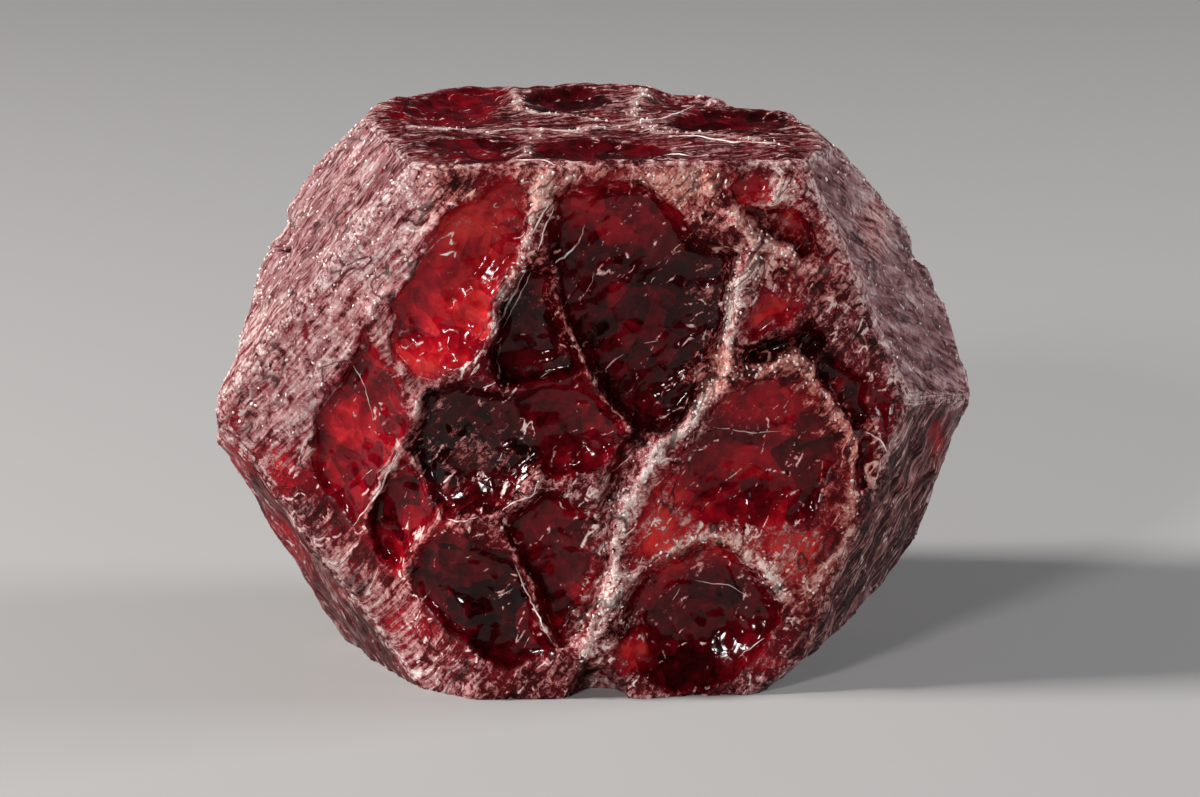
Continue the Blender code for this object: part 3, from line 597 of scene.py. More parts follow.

# %% [markdown]
# ## Where each finish lies
# Before the fine breaks are carved, every point is told what it is: glass or skin, how brightly
# the red is painted as lit there, how much pale frost lies on it, how much it is darkened by dark
# stone and painted shade, how warm the crust is, and how clearly it is lined. Three layers of paint
# do it, from coarse to fine: one mixture for each crystal face, the hollows and veins of the
# drawings on top, and soft round patches last.

# %% Patches: place on the drawing, reach across and up, and how much is added there
PATCHES = {
    "front": {
        # Glow patches are painted light: bright spots where the red seems lit through the stone.
        "glow": [(-6.0, 8.4, 1.3, 0.9, 0.25), (-5.6, 5.4, 1.6, 1.6, 0.12), (-9.3, 4.0, 1.0, 1.3, -0.28),
            (-8.6, 1.6, 1.2, 0.8, 0.15), (-0.8, 9.2, 1.4, 1.2, 0.45), (1.8, 8.6, 1.6, 1.8, 0.2),
            (0.8, 5.2, 0.9, 1.0, 0.15), (3.8, 9.2, 0.9, 0.7, 0.35), (2.6, 0.6, 1.4, 1.0, 0.12),
            (7.8, -0.5, 2.0, 1.0, 0.28), (6.8, -3.1, 1.4, 0.8, 0.2), (7.8, -1.9, 2.6, 0.5, -0.2),
            (3.0, -6.4, 1.5, 2.2, 0.85), (10.2, -8.0, 1.8, 1.8, 0.5), (7.0, -7.4, 3.0, 0.9, 0.6),
            (7.8, -12.2, 0.9, 1.3, 0.25), (9.4, 8.4, 0.7, 0.8, 0.55), (11.9, 0.4, 0.7, 0.9, 0.3),
            (-12.0, -1.5, 1.4, 2.4, 0.12), (-15.6, -3.4, 1.1, 1.1, 0.4), (-18.4, -3.2, 0.6, 1.4, 0.4),
            (16.5, -1.8, 0.6, 1.4, 0.25), (0.6, -3.0, 1.0, 1.8, 0.1), (-0.4, -9.6, 1.0, 1.6, 0.1),
            (-11.2, -11.4, 2.2, 1.0, 0.2), (4.2, 10.8, 2.8, 0.9, 0.35), (8.8, 9.4, 1.4, 1.2, 0.2)],
        "frost": [(-5.6, -3.0, 3.0, 2.2, 0.72), (4.8, 6.8, 1.9, 1.7, 0.32), (-2.6, 10.6, 1.3, 1.2, 0.5),
            (3.6, 10.2, 2.4, 1.2, 0.25), (-12.0, 7.0, 2.0, 3.6, 0.18), (-8.6, 10.4, 2.6, 1.0, 0.2),
            (8.8, 8.6, 2.0, 2.2, 0.15), (-2.2, 4.6, 1.4, 2.4, 0.15), (10.0, 3.2, 2.0, 1.6, 0.1),
            (0.6, -7.0, 1.4, 3.0, 0.15), (6.6, -8.6, 3.6, 1.6, 0.14), (-14.4, -4.2, 2.2, 1.2, -0.5),
            (-8.0, -10.0, 3.6, 3.4, -0.5), (-12.4, -5.8, 2.4, 2.4, -0.55), (4.0, 10.8, 2.8, 1.0, 0.6),
            (8.8, 9.0, 1.4, 1.6, 0.42), (-14.8, -6.0, 0.5, 1.2, 0.25), (-13.0, -8.3, 0.5, 1.2, 0.3),
            (-11.2, -10.7, 0.5, 1.2, 0.3), (-9.6, -12.8, 0.6, 1.0, 0.25), (-5.0, 5.0, 1.6, 3.0, -0.2),
            (7.6, 6.2, 1.2, 1.2, 0.25)],
        "mauve": [(-8.0, -9.0, 4.0, 5.0, -0.7), (-13.0, -5.0, 2.4, 2.4, -0.4),
            (-5.4, 6.0, 2.0, 4.0, -0.5), (-6.4, -1.0, 2.4, 4.0, -0.5)],
        # Soot patches darken dark stone, and lay painted shade in pits, hollows and the dark wedge.
        "soot": [(4.6, 6.6, 2.0, 1.8, 0.45), (9.0, 2.2, 2.2, 1.2, 0.55), (14.4, -6.4, 2.2, 4.4, 0.3),
            (11.6, -11.0, 1.6, 2.6, 0.6), (8.4, 8.0, 1.6, 0.8, 0.5), (-5.6, -2.6, 2.8, 2.2, 0.4),
            (-3.4, 3.2, 1.4, 2.2, 0.4), (-8.0, 1.0, 1.6, 0.8, 0.4), (5.0, 3.0, 0.9, 2.4, 0.4),
            (-12.6, -9.2, 1.6, 3.0, 0.35), (12.8, 5.0, 1.0, 2.0, 0.25)],
        "warmth": [(3.0, -6.4, 1.5, 2.2, 0.5), (7.0, -7.4, 3.0, 0.9, 0.5), (4.6, 10.6, 2.4, 1.2, 0.3),
            (9.6, 10.4, 1.2, 2.6, 0.3), (11.6, -1.6, 1.6, 3.0, 0.4)],
    },
    "sides": {
        # Glow patches here are painted light: red edges that seem lit through.
        "glow": [(-18.0, -2.6, 0.7, 1.3, 0.4), (-16.6, 5.0, 1.0, 4.0, 0.1), (16.6, -1.8, 0.6, 1.4, 0.45),
            (-15.0, -8.0, 0.8, 3.0, 0.2)],
        "frost": [(-18.0, -2.6, 0.7, 1.3, -0.35), (-11.4, 8.0, 0.9, 1.1, 0.3),
            (16.6, -1.8, 0.6, 1.4, -0.3), (-13.4, -7.6, 1.1, 1.6, 0.1), (-11.2, -11.0, 1.1, 1.6, 0.1)],
        # Darkening on the sides: dark stone, and painted shade low down.
        "soot": [(-13.6, -7.8, 0.9, 1.6, 0.55), (-11.4, -11.2, 0.9, 1.6, 0.55),
            (16.6, -1.8, 0.6, 1.4, -0.6), (-11.0, 5.4, 1.4, 1.2, 0.2)],
        "mauve": [(-17.0, 4.0, 1.0, 4.0, -0.45), (-18.4, 0.2, 0.8, 1.6, -0.5),
            (13.6, 8.6, 0.9, 1.8, -0.6), (-11.4, 8.0, 0.9, 1.1, -0.4), (18.2, -0.4, 0.5, 1.8, -0.5),
            (-12.8, 11.6, 1.2, 1.4, -0.4)],
        "warmth": [(13.6, 8.6, 0.9, 1.8, 0.6)],
    },
    "top": {
        "frost": [(0.0, -4.6, 5.0, 1.6, 0.2), (6.5, 2.6, 4.0, 2.6, 0.2), (-2.0, 7.0, 2.0, 3.0, 0.25),
            (-6.0, -4.2, 2.0, 2.0, 0.1)],
    },
}
print("patches:", sum(len(patches) for group in PATCHES.values() for patches in group.values()))

# %% Each bare face: frost, painted glow, mauve, darkening (dark stone and painted shade), warmth, how lined, and the slant of its lines in degrees
FACE_COLUMNS = ("frost", "glow", "mauve", "soot", "warmth", "lined")
FACE_FINISH = {
    "top": (0.38, 0.22, 0.40, 0.30, 0.0, 0.60, 12),
    "foot": (0.60, 0.20, 0.50, 0.30, 0.0, 0.50, 0),
    "front": (0.38, 0.22, 0.10, 0.00, 0.00, 0.35, 52),
    "front_left": (0.80, 0.25, 0.65, 0.00, 0.00, 0.62, 52),
    "front_right": (0.46, 0.26, 0.08, 0.05, 0.10, 0.35, 52),
    "upper_left": (0.86, 0.25, 0.80, 0.00, 0.00, 0.66, 65),
    "shoulder_left": (0.80, 0.28, 0.60, 0.00, 0.00, 0.50, 65),
    "left": (0.80, 0.26, 0.70, 0.00, 0.00, 0.50, 62),
    "under_left": (0.34, 0.38, 0.60, 0.10, 0.00, 0.55, -62),
    "lower_left": (0.30, 0.34, 0.50, 0.20, 0.00, 0.65, -60),
    "upper_right": (1.00, 0.12, 0.95, 0.10, 0.00, 0.85, -32),
    "shoulder_right": (0.74, 0.26, 0.60, 0.00, 0.15, 0.50, -40),
    "right": (0.80, 0.18, 0.85, 0.10, 0.00, 0.50, -50),
    "under_right": (0.44, 0.18, 0.60, 0.50, 0.00, 0.45, 55),
    "lower_right": (0.44, 0.05, 0.20, 0.55, 0.00, 0.90, 52),
    "foot_right": (0.42, 0.12, 0.40, 0.60, 0.00, 0.60, 50),
    "back": (0.50, 0.26, 0.45, 0.10, 0.00, 0.40, 58),
    "back_low": (0.44, 0.26, 0.40, 0.25, 0.00, 0.45, -55),
    "back_left": (0.72, 0.24, 0.70, 0.00, 0.00, 0.50, -60),
    "back_left_low": (0.42, 0.34, 0.50, 0.20, 0.00, 0.50, 60),
    "back_right": (0.76, 0.22, 0.75, 0.05, 0.00, 0.50, 60),
    "back_right_low": (0.42, 0.18, 0.50, 0.45, 0.00, 0.50, -58),
}
SEEN_SIDES = ("upper_left", "left", "under_left", "lower_left",
              "upper_right", "right", "under_right", "lower_right", "foot_right")
SEEN_DEPTH = 3.0
print("faces with a finish:", len(FACE_FINISH))


# %% The plain paint of the faces
def add_patches(layer, patches, u, v):
    for middle_u, middle_v, across, up, amount in patches:
        reach = ((u - middle_u) / across) ** 2 + ((v - middle_v) / up) ** 2
        layer += amount * np.exp(-reach)


LAYERS = ("glass", "glow", "frost", "soot", "warmth", "mauve", "lined", "ripple")


def plain_paint(points, shares):
    """Each layer as the crystal faces have it, with the patches on the sides."""
    columns = dict(zip(FACE_COLUMNS, zip(*(values[:6] for values in FACE_FINISH.values()))))
    share_table = np.array([shares[face] for face in FACE_FINISH])
    nothing = [0.0] * len(FACE_FINISH)
    plain = {name: np.array(columns.get(name, nothing)) @ share_table for name in LAYERS}
    u, v, _ = DRAWINGS["front"][0].place(points)
    seen = sum(shares[face] for face in SEEN_SIDES) * (points[:, 1] < SEEN_DEPTH)
    for layer, patches in PATCHES["sides"].items():
        added = np.zeros(len(points))
        add_patches(added, patches, u, v)
        plain[layer] += seen * added
    return plain


print("layers:", ", ".join(LAYERS))


# %% Hollows, veins and patches on top
RIPPLE_SPACING = 1.1
GLASS_FROST = -0.12


def paint_hollows(own, name, points, u, v):
    """Glass, with its painted glow and its shell ripples, in the hollows of one drawing."""
    for number, (outline, _, _, _, _, light) in enumerate(HOLLOWS[name].values()):
        inward = inside_outline(u, v, outline)
        cut = smooth(inward, -0.15, 0.20)
        if light is None:
            own["glass"] *= 1.0 - cut
            continue
        own["glass"] += (1.0 - own["glass"]) * cut
        own["glow"] += (light - own["glow"]) * smooth(inward, -0.5, 0.3)
        own["frost"] += (GLASS_FROST - own["frost"]) * smooth(inward, -0.6, 0.8)
        blow = outline[number % len(outline)]
        rings = np.hypot(u - blow[0], v - blow[1]) + 0.4 * lump_noise(points, 2.0, 41)
        own["ripple"] += (np.sin(rings * math.tau / RIPPLE_SPACING) - own["ripple"]) * cut


def paint_veins(own, name, points, u, v):
    """Crust along the veins of one drawing, thinning out to both sides."""
    for line, _, half_width, thick, warm in VEINS[name].values():
        near = along_line(u, v, line) * (1.0 + 0.5 * lump_noise(points, 1.3, 42))
        near -= 0.25 * half_width * lump_noise(points, 2.6, 43)
        close = thick * (1.0 - smooth(near, 0.1 * half_width, 1.3 * half_width))
        beside = thick * (1.0 - smooth(near, 0.0, 4.2 * half_width))
        own["warmth"] += (warm - own["warmth"]) * smooth(beside, 0.0, 0.4)
        own["frost"] = np.maximum(own["frost"], np.maximum(1.05 * close, 0.66 * beside))
        own["glass"] *= 1.0 - close


def painted(points):
    """How much of each finish there is at each point."""
    shares, _ = face_shares(points)
    plain = plain_paint(points, shares)
    finish = {name: shares["foot"] * values for name, values in plain.items()}
    for name, (drawing, faces) in DRAWINGS.items():
        u, v, _ = drawing.place(points)
        u, v = ragged(u, v)
        own = {layer: values.copy() for layer, values in plain.items()}
        paint_hollows(own, name, points, u, v)
        paint_veins(own, name, points, u, v)
        for layer, patches in PATCHES.get(name, {}).items():
            add_patches(own[layer], patches, u, v)
        share = sum(shares[face] for face in faces)
        for layer, values in own.items():
            finish[layer] += share * values
    return finish


print("hollows with glass:", sum(hollow[5] is not None for group in HOLLOWS.values()
                                for hollow in group.values()))


# %% Places along the growth lines, and the worn edges between faces
def growth_places(points):
    """Distance across and along the growth lines of each face, in millimetres."""
    shares, _ = face_shares(points)
    sharp = {face: values ** 6 for face, values in shares.items()}
    total = sum(sharp.values())
    across = np.zeros(len(points))
    along = np.zeros(len(points))
    for face, (azimuth, tilt, _) in CRYSTAL_FACES.items():
        if face in DRAWINGS["front"][1]:
            azimuth, tilt = 0, 0
        level = np.array(direction(azimuth + 90, 0))
        rise = np.cross(np.array(direction(azimuth, tilt)), level)
        slant = math.radians(FACE_FINISH[face][6])
        share = sharp[face] / total
        along += share * (points @ (math.cos(slant) * level + math.sin(slant) * rise))
        across += share * (points @ (math.cos(slant) * rise - math.sin(slant) * level))
    return across, along


def crystal_edges(points):
    """1 on the edges between crystal faces, falling to 0 half a millimetre away."""
    shares, _ = face_shares(points)
    broken_front = np.maximum.reduce([shares[face] for face in DRAWINGS["front"][1]])
    others = [values for face, values in shares.items() if face not in DRAWINGS["front"][1]]
    ordered = np.sort(np.array([broken_front, *others]), axis=0)
    gap = EDGE_BLEND * np.log(ordered[-1] / (ordered[-2] + 1e-12))
    return 1.0 - smooth(gap, 0.05, 0.45)


print("slants, degrees:", sorted({values[6] for values in FACE_FINISH.values()}))

# %% [markdown]
# ## Second carving: what the eye reads as broken stone
# Broken ruby is never smooth. Each hollow is rippled like a shell, away from the point where the
# blow fell, and is chipped into smaller scars. The skin between has fine growth ribs, and the
# veins are lumpy. All of it is real shape, down to lumps of about 0.4 mm. The mesh is made finer
# first, and each point then moves along its own normal.


# %% Height of the small breaks, ribs and grains
def fine_relief(points, finish):
    glassy = finish["glass"]
    scars = 0.12 * (shell_flakes(points, 1.1, 51) - 0.4) + 0.05 * (shell_flakes(points, 0.5, 52) - 0.4)
    rough = 0.10 * lump_noise(points, 0.7, 53) + 0.06 * lump_noise(points, 0.38, 54)
    grainy = 0.22 * (shell_flakes(points, 0.6, 55) - 0.5)
    across, along = growth_places(points)
    bent = across + 0.25 * lump_noise(points, 2.2, 56)
    drawn_out = np.stack([bent, along / 2.8, across * 0.0], axis=1)
    ribs = 0.06 * lump_noise(drawn_out, 0.42, 57) - 0.16 * (shell_flakes(drawn_out, 0.9, 58) - 0.4)
    height = glassy * (scars + 0.035 * finish["ripple"])
    height += (1.0 - glassy) * ((1.0 - 0.75 * finish["lined"]) * rough + finish["lined"] * ribs)
    return height - smooth(finish["frost"], 0.5, 0.9) * (1.0 - np.clip(finish["lined"], 0, 1)) * grainy


FINE_SPACING = 0.17
SAWN_LEVEL = 0.08
stone = evenly_meshed(body, FINE_SPACING)
fine_points = point_array(stone)
finish = painted(fine_points)
outward = point_array(stone, "normal")
fine_points += outward * fine_relief(fine_points, finish)[:, None]
fine_points[:, 2] = np.where(fine_points[:, 2] < SAWN_LEVEL, 0.0, fine_points[:, 2])
set_points(stone, fine_points)
print("fine relief:", len(stone.vertices), "points")

# %% [markdown]
# ## Fewer faces where the stone is smooth
# The even skin has as many faces on a flat pane as on a rough vein. `Decimate` joins them where
# that changes the shape least, which keeps the sharp breaks and stays under 200,000 triangles.

# %% Thin the skin, and keep it inside the solid's box
MOST_TRIANGLES = 195000


def thinned(mesh, triangles):
    holder = bpy.data.objects.new("holder", mesh)
    bpy.context.scene.collection.objects.link(holder)
    fewer = holder.modifiers.new("fewer faces", "DECIMATE")
    fewer.ratio = triangles / (2 * len(mesh.polygons))
    fewer.use_collapse_triangulate = True
    graph = bpy.context.evaluated_depsgraph_get()
    graph.update()
    result = bpy.data.meshes.new_from_object(holder.evaluated_get(graph))
    bpy.data.objects.remove(holder)
    return result


stone = thinned(stone, MOST_TRIANGLES)
stone.name = "ruby_stone"
stone_points = point_array(stone)
finish = painted(stone_points)
outward = point_array(stone, "normal")
in_solid = (stone_points + MIDDLE_SHIFT) * MM
set_points(stone, np.clip(in_solid, low_corner, high_corner))
print("stone:", len(stone.vertices), "points,", len(stone.polygons), "triangles")

# %% [markdown]
# ## Layers for the material
# The painting goes onto the mesh as attributes, which the material reads by name. One more layer
# is measured from the shape itself: on old stone a crest is rubbed pale, and the material also paints a
# highlight on crests and shade in clefts.
# Where the neighbours of a point lie below it, it is on a crest.


# %% Crests and clefts
def crests(mesh, points, normals):
    """Above 0 on a sharp crest and below 0 in a cleft, from where each point's neighbours lie."""
    ends = np.empty(len(mesh.edges) * 2, np.int32)
    mesh.edges.foreach_get("vertices", ends)
    first, second = ends.reshape(-1, 2).T
    reach = points[second] - points[first]
    length = np.linalg.norm(reach, axis=1) + 1e-9
    drop_first = -(reach * normals[first]).sum(axis=1) / length
    drop_second = (reach * normals[second]).sum(axis=1) / length
    count = len(points)
    total = np.bincount(first, drop_first, count) + np.bincount(second, drop_second, count)
    each = np.bincount(first, minlength=count) + np.bincount(second, minlength=count)
    return total / np.maximum(each, 1)


finish["crest"] = crests(stone, stone_points, outward)
print("crests from", round(finish["crest"].min(), 2), "to", round(finish["crest"].max(), 2))


# %% Write the finishes on the points
LAYERS_READ = ("glass", "glow", "frost", "soot", "warmth", "mauve", "lined", "crest", "edge", "across",
               "along")


def write_layer(mesh, name, values):
    layer = mesh.attributes.new(name, "FLOAT", "POINT")
    layer.data.foreach_set("value", values.astype(np.float32))


finish["edge"] = crystal_edges(stone_points)
finish["across"], finish["along"] = growth_places(stone_points)
for name in LAYERS_READ:
    write_layer(stone, name, finish[name])
for polygon in stone.polygons:
    polygon.use_smooth = True
ruby = bpy.data.objects.new("ruby_stone", stone)
bpy.context.scene.collection.objects.link(ruby)
print("layers:", ", ".join(layer.name for layer in stone.attributes if not layer.is_internal))

# %% [markdown]
# ## What ruby looks like
# Ruby is clear red glass where it is freshly broken, and dull, rough and pale where it isn't. One
# shader can be both, because its inputs may change from place to place: the glass layer says where
# the stone is a window and where it is skin. Every value is built from the layers and a few noises
# first, and goes into the shader at the end. A small helper keeps each node to one line.

# %% A short way to write nodes
class Finish:
    """A material's node tree, with one call for each node."""

    def __init__(self, name):
        self.material = bpy.data.materials.new(name)
        self.material.use_nodes = True
        self.tree = self.material.node_tree
        self.tree.nodes.clear()

    def add(self, kind, inputs=None, **settings):
        node = self.tree.nodes.new(kind)
        for key, value in settings.items():
            setattr(node, key, value)
        for socket, value in (inputs or {}).items():
            self.feed(node.inputs[socket], value)
        return node

    def feed(self, socket, value):
        if isinstance(value, bpy.types.NodeSocket):
            self.tree.links.new(value, socket)
        else:
            socket.default_value = value

    def layer(self, name):
        return self.add("ShaderNodeAttribute", attribute_name=name).outputs["Fac"]

    def math(self, operation, first, second=0.0, third=0.0):
        return self.add("ShaderNodeMath", {0: first, 1: second, 2: third}, operation=operation).outputs[0]

    def total(self, *parts, start=0.0):
        """The sum of values, each times its weight."""
        result = start
        for value, weight in parts:
            result = self.math("MULTIPLY_ADD", value, weight, result)
        return result

    def step(self, value, low, high, start=0.0, end=1.0):
        """A soft step from start to end as value goes from low to high."""
        node = self.add("ShaderNodeMapRange", {"Value": value, "From Min": low, "From Max": high,
                                               "To Min": start, "To Max": end},
                        interpolation_type="SMOOTHSTEP")
        return node.outputs["Result"]

    def noise(self, place, scale, detail=4.0, rough=0.55, warp=0.0):
        node = self.add("ShaderNodeTexNoise", {"Vector": place, "Scale": scale, "Detail": detail,
                                               "Roughness": rough, "Distortion": warp})
        return node.outputs["Fac"]

    def cracks(self, place, scale, **settings):
        """Flat-sided cells, each with a tone of its own."""
        return self.add("ShaderNodeTexVoronoi", {"Vector": place, "Scale": scale, "Detail": 1.0,
                                                 "Roughness": 0.6}, **settings).outputs

    def ramp(self, value, stops):
        node = self.add("ShaderNodeValToRGB", {"Fac": value})
        ramp = node.color_ramp
        while len(ramp.elements) < len(stops):
            ramp.elements.new(1.0)
        for element, (place, colour) in zip(ramp.elements, stops):
            element.position = place
            element.color = (*colour, 1.0)
        return node.outputs["Color"]

    def mix(self, share, first, second, blend="MIX"):
        node = self.add("ShaderNodeMix", {"Factor": share}, data_type="RGBA", blend_type=blend)
        self.feed(node.inputs["A"], first)
        self.feed(node.inputs["B"], second)
        return node.outputs["Result"]


def tone(red, green, blue):
    return (red, green, blue, 1.0)


print("node helpers:", ", ".join(name for name in vars(Finish) if not name.startswith("_")))

# %% [markdown]
# ## Millimetres, and red glass
# Object coordinates are in metres, so they are first turned into millimetres: a noise of scale 2
# then has lumps half a millimetre wide. The red of the glass is a ramp of painted light, from the
# almost black of red in shade to the scarlet of a pane lit right through. The painted glow layer
# picks the place on the ramp, and flaws inside the stone, drawn as cells with a tone each, break it
# up with painted inner reflections, as they do in a real ruby.

# %% The layers in millimetres
ruby_finish = Finish("ruby and crust")
place = ruby_finish.add("ShaderNodeTexCoord").outputs["Object"]
in_mm = ruby_finish.add("ShaderNodeVectorMath", {0: place, "Scale": 1.0 / MM},
                        operation="SCALE").outputs["Vector"]
glass, crest, mauve, soot, frosted, lined = (
    ruby_finish.layer(name) for name in ("glass", "crest", "mauve", "soot", "frost", "lined"))
print("nodes so far:", len(ruby_finish.tree.nodes))

# %% Red glass
# Lit and shaded copies of one red: from the near black of red in shade to the scarlet of red lit right
# through.
LIT_AND_SHADED_RED_TONES = ((0.0, (0.008, 0.0002, 0.0006)), (0.22, (0.038, 0.0003, 0.0012)),
             (0.45, (0.130, 0.0008, 0.005)), (0.72, (0.340, 0.003, 0.010)), (1.0, (0.620, 0.028, 0.026)))
# The glow layer and the feather noise set how brightly the red is painted as lit through the stone.
feather = ruby_finish.noise(in_mm, 1.6, detail=4.0, rough=0.6, warp=1.0)
# Flaw cells: their tone is painted inner reflection in the red, and their edges give a bump.
flaw_cells_and_reflections = ruby_finish.cracks(in_mm, 0.75)
glow = ruby_finish.total((ruby_finish.layer("glow"), 1.0), (flaw_cells_and_reflections["Color"], 0.40), (feather, 0.6),
                         start=-0.51)
red = ruby_finish.ramp(glow, LIT_AND_SHADED_RED_TONES)
print("nodes so far:", len(ruby_finish.tree.nodes))

# %% [markdown]
# ## Skin drawn out along the growth lines
# The skin of a crystal is streaked along its growth lines. An ordinary noise becomes streaky when
# its coordinates are divided by a small width across the lines and a large length along them. The
# across and along layers hold those coordinates for every face, and a slow noise bends them, so
# that no line is ruled straight.

# %% Streaks, chips and grain
flow = ruby_finish.noise(in_mm, 0.35, detail=2.0)
bent = ruby_finish.total((flow, 0.8), start=ruby_finish.layer("across"))
length_way = ruby_finish.layer("along")


def drawn_out(width, length):
    """Places stretched along the growth lines."""
    place = ruby_finish.add("ShaderNodeCombineXYZ", {
        "X": ruby_finish.math("DIVIDE", bent, width),
        "Y": ruby_finish.math("DIVIDE", length_way, length)})
    return place.outputs["Vector"]


def lines(width, length, **shape):
    """Noise drawn out along the growth lines."""
    return ruby_finish.noise(drawn_out(width, length), 1.0, **shape)


ribs = lines(0.26, 3.0, detail=3.0, rough=0.70, warp=0.2)
bands = lines(0.9, 4.5, detail=3.0, rough=0.65, warp=0.2)
chips = ruby_finish.cracks(drawn_out(0.55, 1.7), 1.0, voronoi_dimensions="2D")
grain = ruby_finish.noise(in_mm, 3.0, detail=3.0, rough=0.8, warp=0.7)
speck = ruby_finish.add("ShaderNodeMix", {"Factor": lined, "A": grain, "B": ribs},
                        data_type="FLOAT").outputs["Result"]
print("nodes so far:", len(ruby_finish.tree.nodes))

# %% [markdown]
# ## Frost and healed cracks
# Frost is where the surface is crushed to pale powder. It gathers on crests, on the edges between
# faces and in thin healed cracks, and thins out on clean glass. The paling on crests is partly a
# painted highlight. So its amount is a sum of all of these, each with a weight, and a soft step
# turns the sum into covered or bare.

# %% How much of the surface is covered
fissure_noise = lines(1.7, 4.2, detail=2.5, rough=0.55, warp=0.3)
fissure = ruby_finish.math("ABSOLUTE", ruby_finish.math("SUBTRACT", fissure_noise, 0.5))
fissure = ruby_finish.step(fissure, 0.0, 0.022, 1.0, 0.0)
fissure = ruby_finish.math("MULTIPLY", fissure, ruby_finish.step(feather, 0.48, 0.62))
worn_edge = ruby_finish.math("MULTIPLY", ruby_finish.layer("edge"), ruby_finish.step(feather, 0.40, 0.62))
# The crest term pales the crests: rubbed crust, and partly a painted highlight.
covered = ruby_finish.total(
    (ruby_finish.step(speck, 0.34, 0.66), 1.0), (frosted, 1.0), (feather, 1.3), (flow, 0.7),
    (crest, 0.8), (glass, -0.28), (fissure, 1.25), (worn_edge, 0.30), start=-1.0)
frost = ruby_finish.step(covered, 0.84, 1.20)
print("nodes so far:", len(ruby_finish.tree.nodes))

# %% Colours of the frost and the skin
FROST_TONES = ((0.42, (0.150, 0.010, 0.015)), (0.58, (0.360, 0.095, 0.100)),
               (0.74, (0.620, 0.340, 0.325)), (0.92, (0.950, 0.830, 0.790)))
SKIN_TONES = ((0.39, (0.028, 0.002, 0.004)), (0.45, (0.085, 0.014, 0.018)), (0.51, (0.150, 0.048, 0.055)),
              (0.57, (0.250, 0.105, 0.115)), (0.64, (0.420, 0.245, 0.250)), (0.73, (0.780, 0.660, 0.640)))
ORANGE_CREAM = tone(1.0, 0.54, 0.46)
# Tint for the darkened skin: dark stone and painted shade.
DARK_STONE_AND_SHADE_TINT = tone(0.30, 0.28, 0.24)
pale = ruby_finish.ramp(ruby_finish.math("MULTIPLY", covered, 0.5), FROST_TONES)
warm_pale = ruby_finish.mix(1.0, pale, ORANGE_CREAM, blend="MULTIPLY")
chalk = ruby_finish.mix(ruby_finish.layer("warmth"), pale, warm_pale)
# Crests lighten the skin: wear, and partly a painted highlight.
skin_value = ruby_finish.total((speck, 0.35), (bands, 0.30), (feather, 0.20), (chips["Color"], 0.15),
                               (worn_edge, 0.08), (crest, 0.25))
chalk = ruby_finish.mix(mauve, chalk, ruby_finish.ramp(skin_value, SKIN_TONES))
# The soot layer darkens the skin: dark stone, and painted shade in pits, hollows and on the lower faces.
chalk = ruby_finish.mix(soot, chalk, ruby_finish.mix(1.0, chalk, DARK_STONE_AND_SHADE_TINT, blend="MULTIPLY"))
print("nodes so far:", len(ruby_finish.tree.nodes))

# %% [markdown]
# ## The shader
# Window and skin meet here. The clefts get painted shade and the open cracks are darkened, last,
# so that they cut through every colour. Only bare glass is let through, a little, at ruby's own
# IOR of 1.77, and the absorption makes light that has gone further come out a deeper red. A bump
# adds what is too small to be carved: the grain of the frost and the edges of the flaws.

# %% Colour, gloss, clearness and bump
# Near blacks: one for the darkened glass (dark stone and painted shade), one for painted shade in clefts
# and for dark open cracks.
DARK_STONE_AND_SHADE_BLACK = tone(0.010, 0.0025, 0.0025)
SHADE_AND_CRACK_BLACK = tone(0.014, 0.001, 0.0015)
# Where the soot layer is high the red glass goes near black: dark stone, and painted shade in hollows and
# pits.
body_tone = ruby_finish.mix(frost, ruby_finish.mix(soot, red, DARK_STONE_AND_SHADE_BLACK), chalk)
crack = ruby_finish.math("ABSOLUTE", ruby_finish.math("SUBTRACT", fissure_noise, 0.42))
crack = ruby_finish.step(crack, 0.004, 0.024, 0.25, 1.0)
# Where crest is below 0 the colour is darkened as painted shade in the cleft; open cracks on the skin are
# darkened as dark lines.
cleft = ruby_finish.math("MULTIPLY", ruby_finish.step(crest, -0.35, 0.0, 0.2, 1.0),
                         ruby_finish.math("MAXIMUM", crack, glass))
body_tone = ruby_finish.mix(cleft, SHADE_AND_CRACK_BLACK, body_tone)
clear = ruby_finish.math("MULTIPLY", glass, ruby_finish.math("SUBTRACT", 1.0, frost))
dulled = ruby_finish.step(ruby_finish.math("SUBTRACT", frosted, glass), -0.1, 0.5, 0.0, 0.16)
grain_height = ruby_finish.math("MULTIPLY", dulled, grain)
bump = ruby_finish.add("ShaderNodeBump", {
    "Height": ruby_finish.total((flaw_cells_and_reflections["Distance"], 0.08), start=grain_height),
    "Strength": 1.0, "Distance": MM})
shader = ruby_finish.add("ShaderNodeBsdfPrincipled", {
    "Base Color": body_tone, "Roughness": ruby_finish.step(clear, 0.0, 1.0, 0.38, 0.10),
    "Transmission Weight": ruby_finish.math("MULTIPLY", clear, 0.12),
    "IOR": 1.77, "Specular IOR Level": 0.06, "Normal": bump.outputs["Normal"]})
depth = ruby_finish.add("ShaderNodeVolumeAbsorption", {"Color": tone(0.95, 0.02, 0.04), "Density": 180.0})
ruby_finish.add("ShaderNodeOutputMaterial", {"Surface": shader.outputs["BSDF"],
                                             "Volume": depth.outputs["Volume"]})
stone.materials.append(ruby_finish.material)
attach(ruby, "root")
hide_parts(NODE)
print("finish:", len(ruby_finish.tree.nodes), "nodes")

# %% [markdown]
# ## Crust grains
# The crust on the veins is made of loose grains, which grow wherever there is most frost. Geometry
# Nodes suit that: points are strewn on the stone, thicker where the frost layer is high, and each
# gets a small stretched grain of twenty faces. The layers are read by name, so the grains follow
# the painting above: they keep off clean glass, and off skin that is lined.


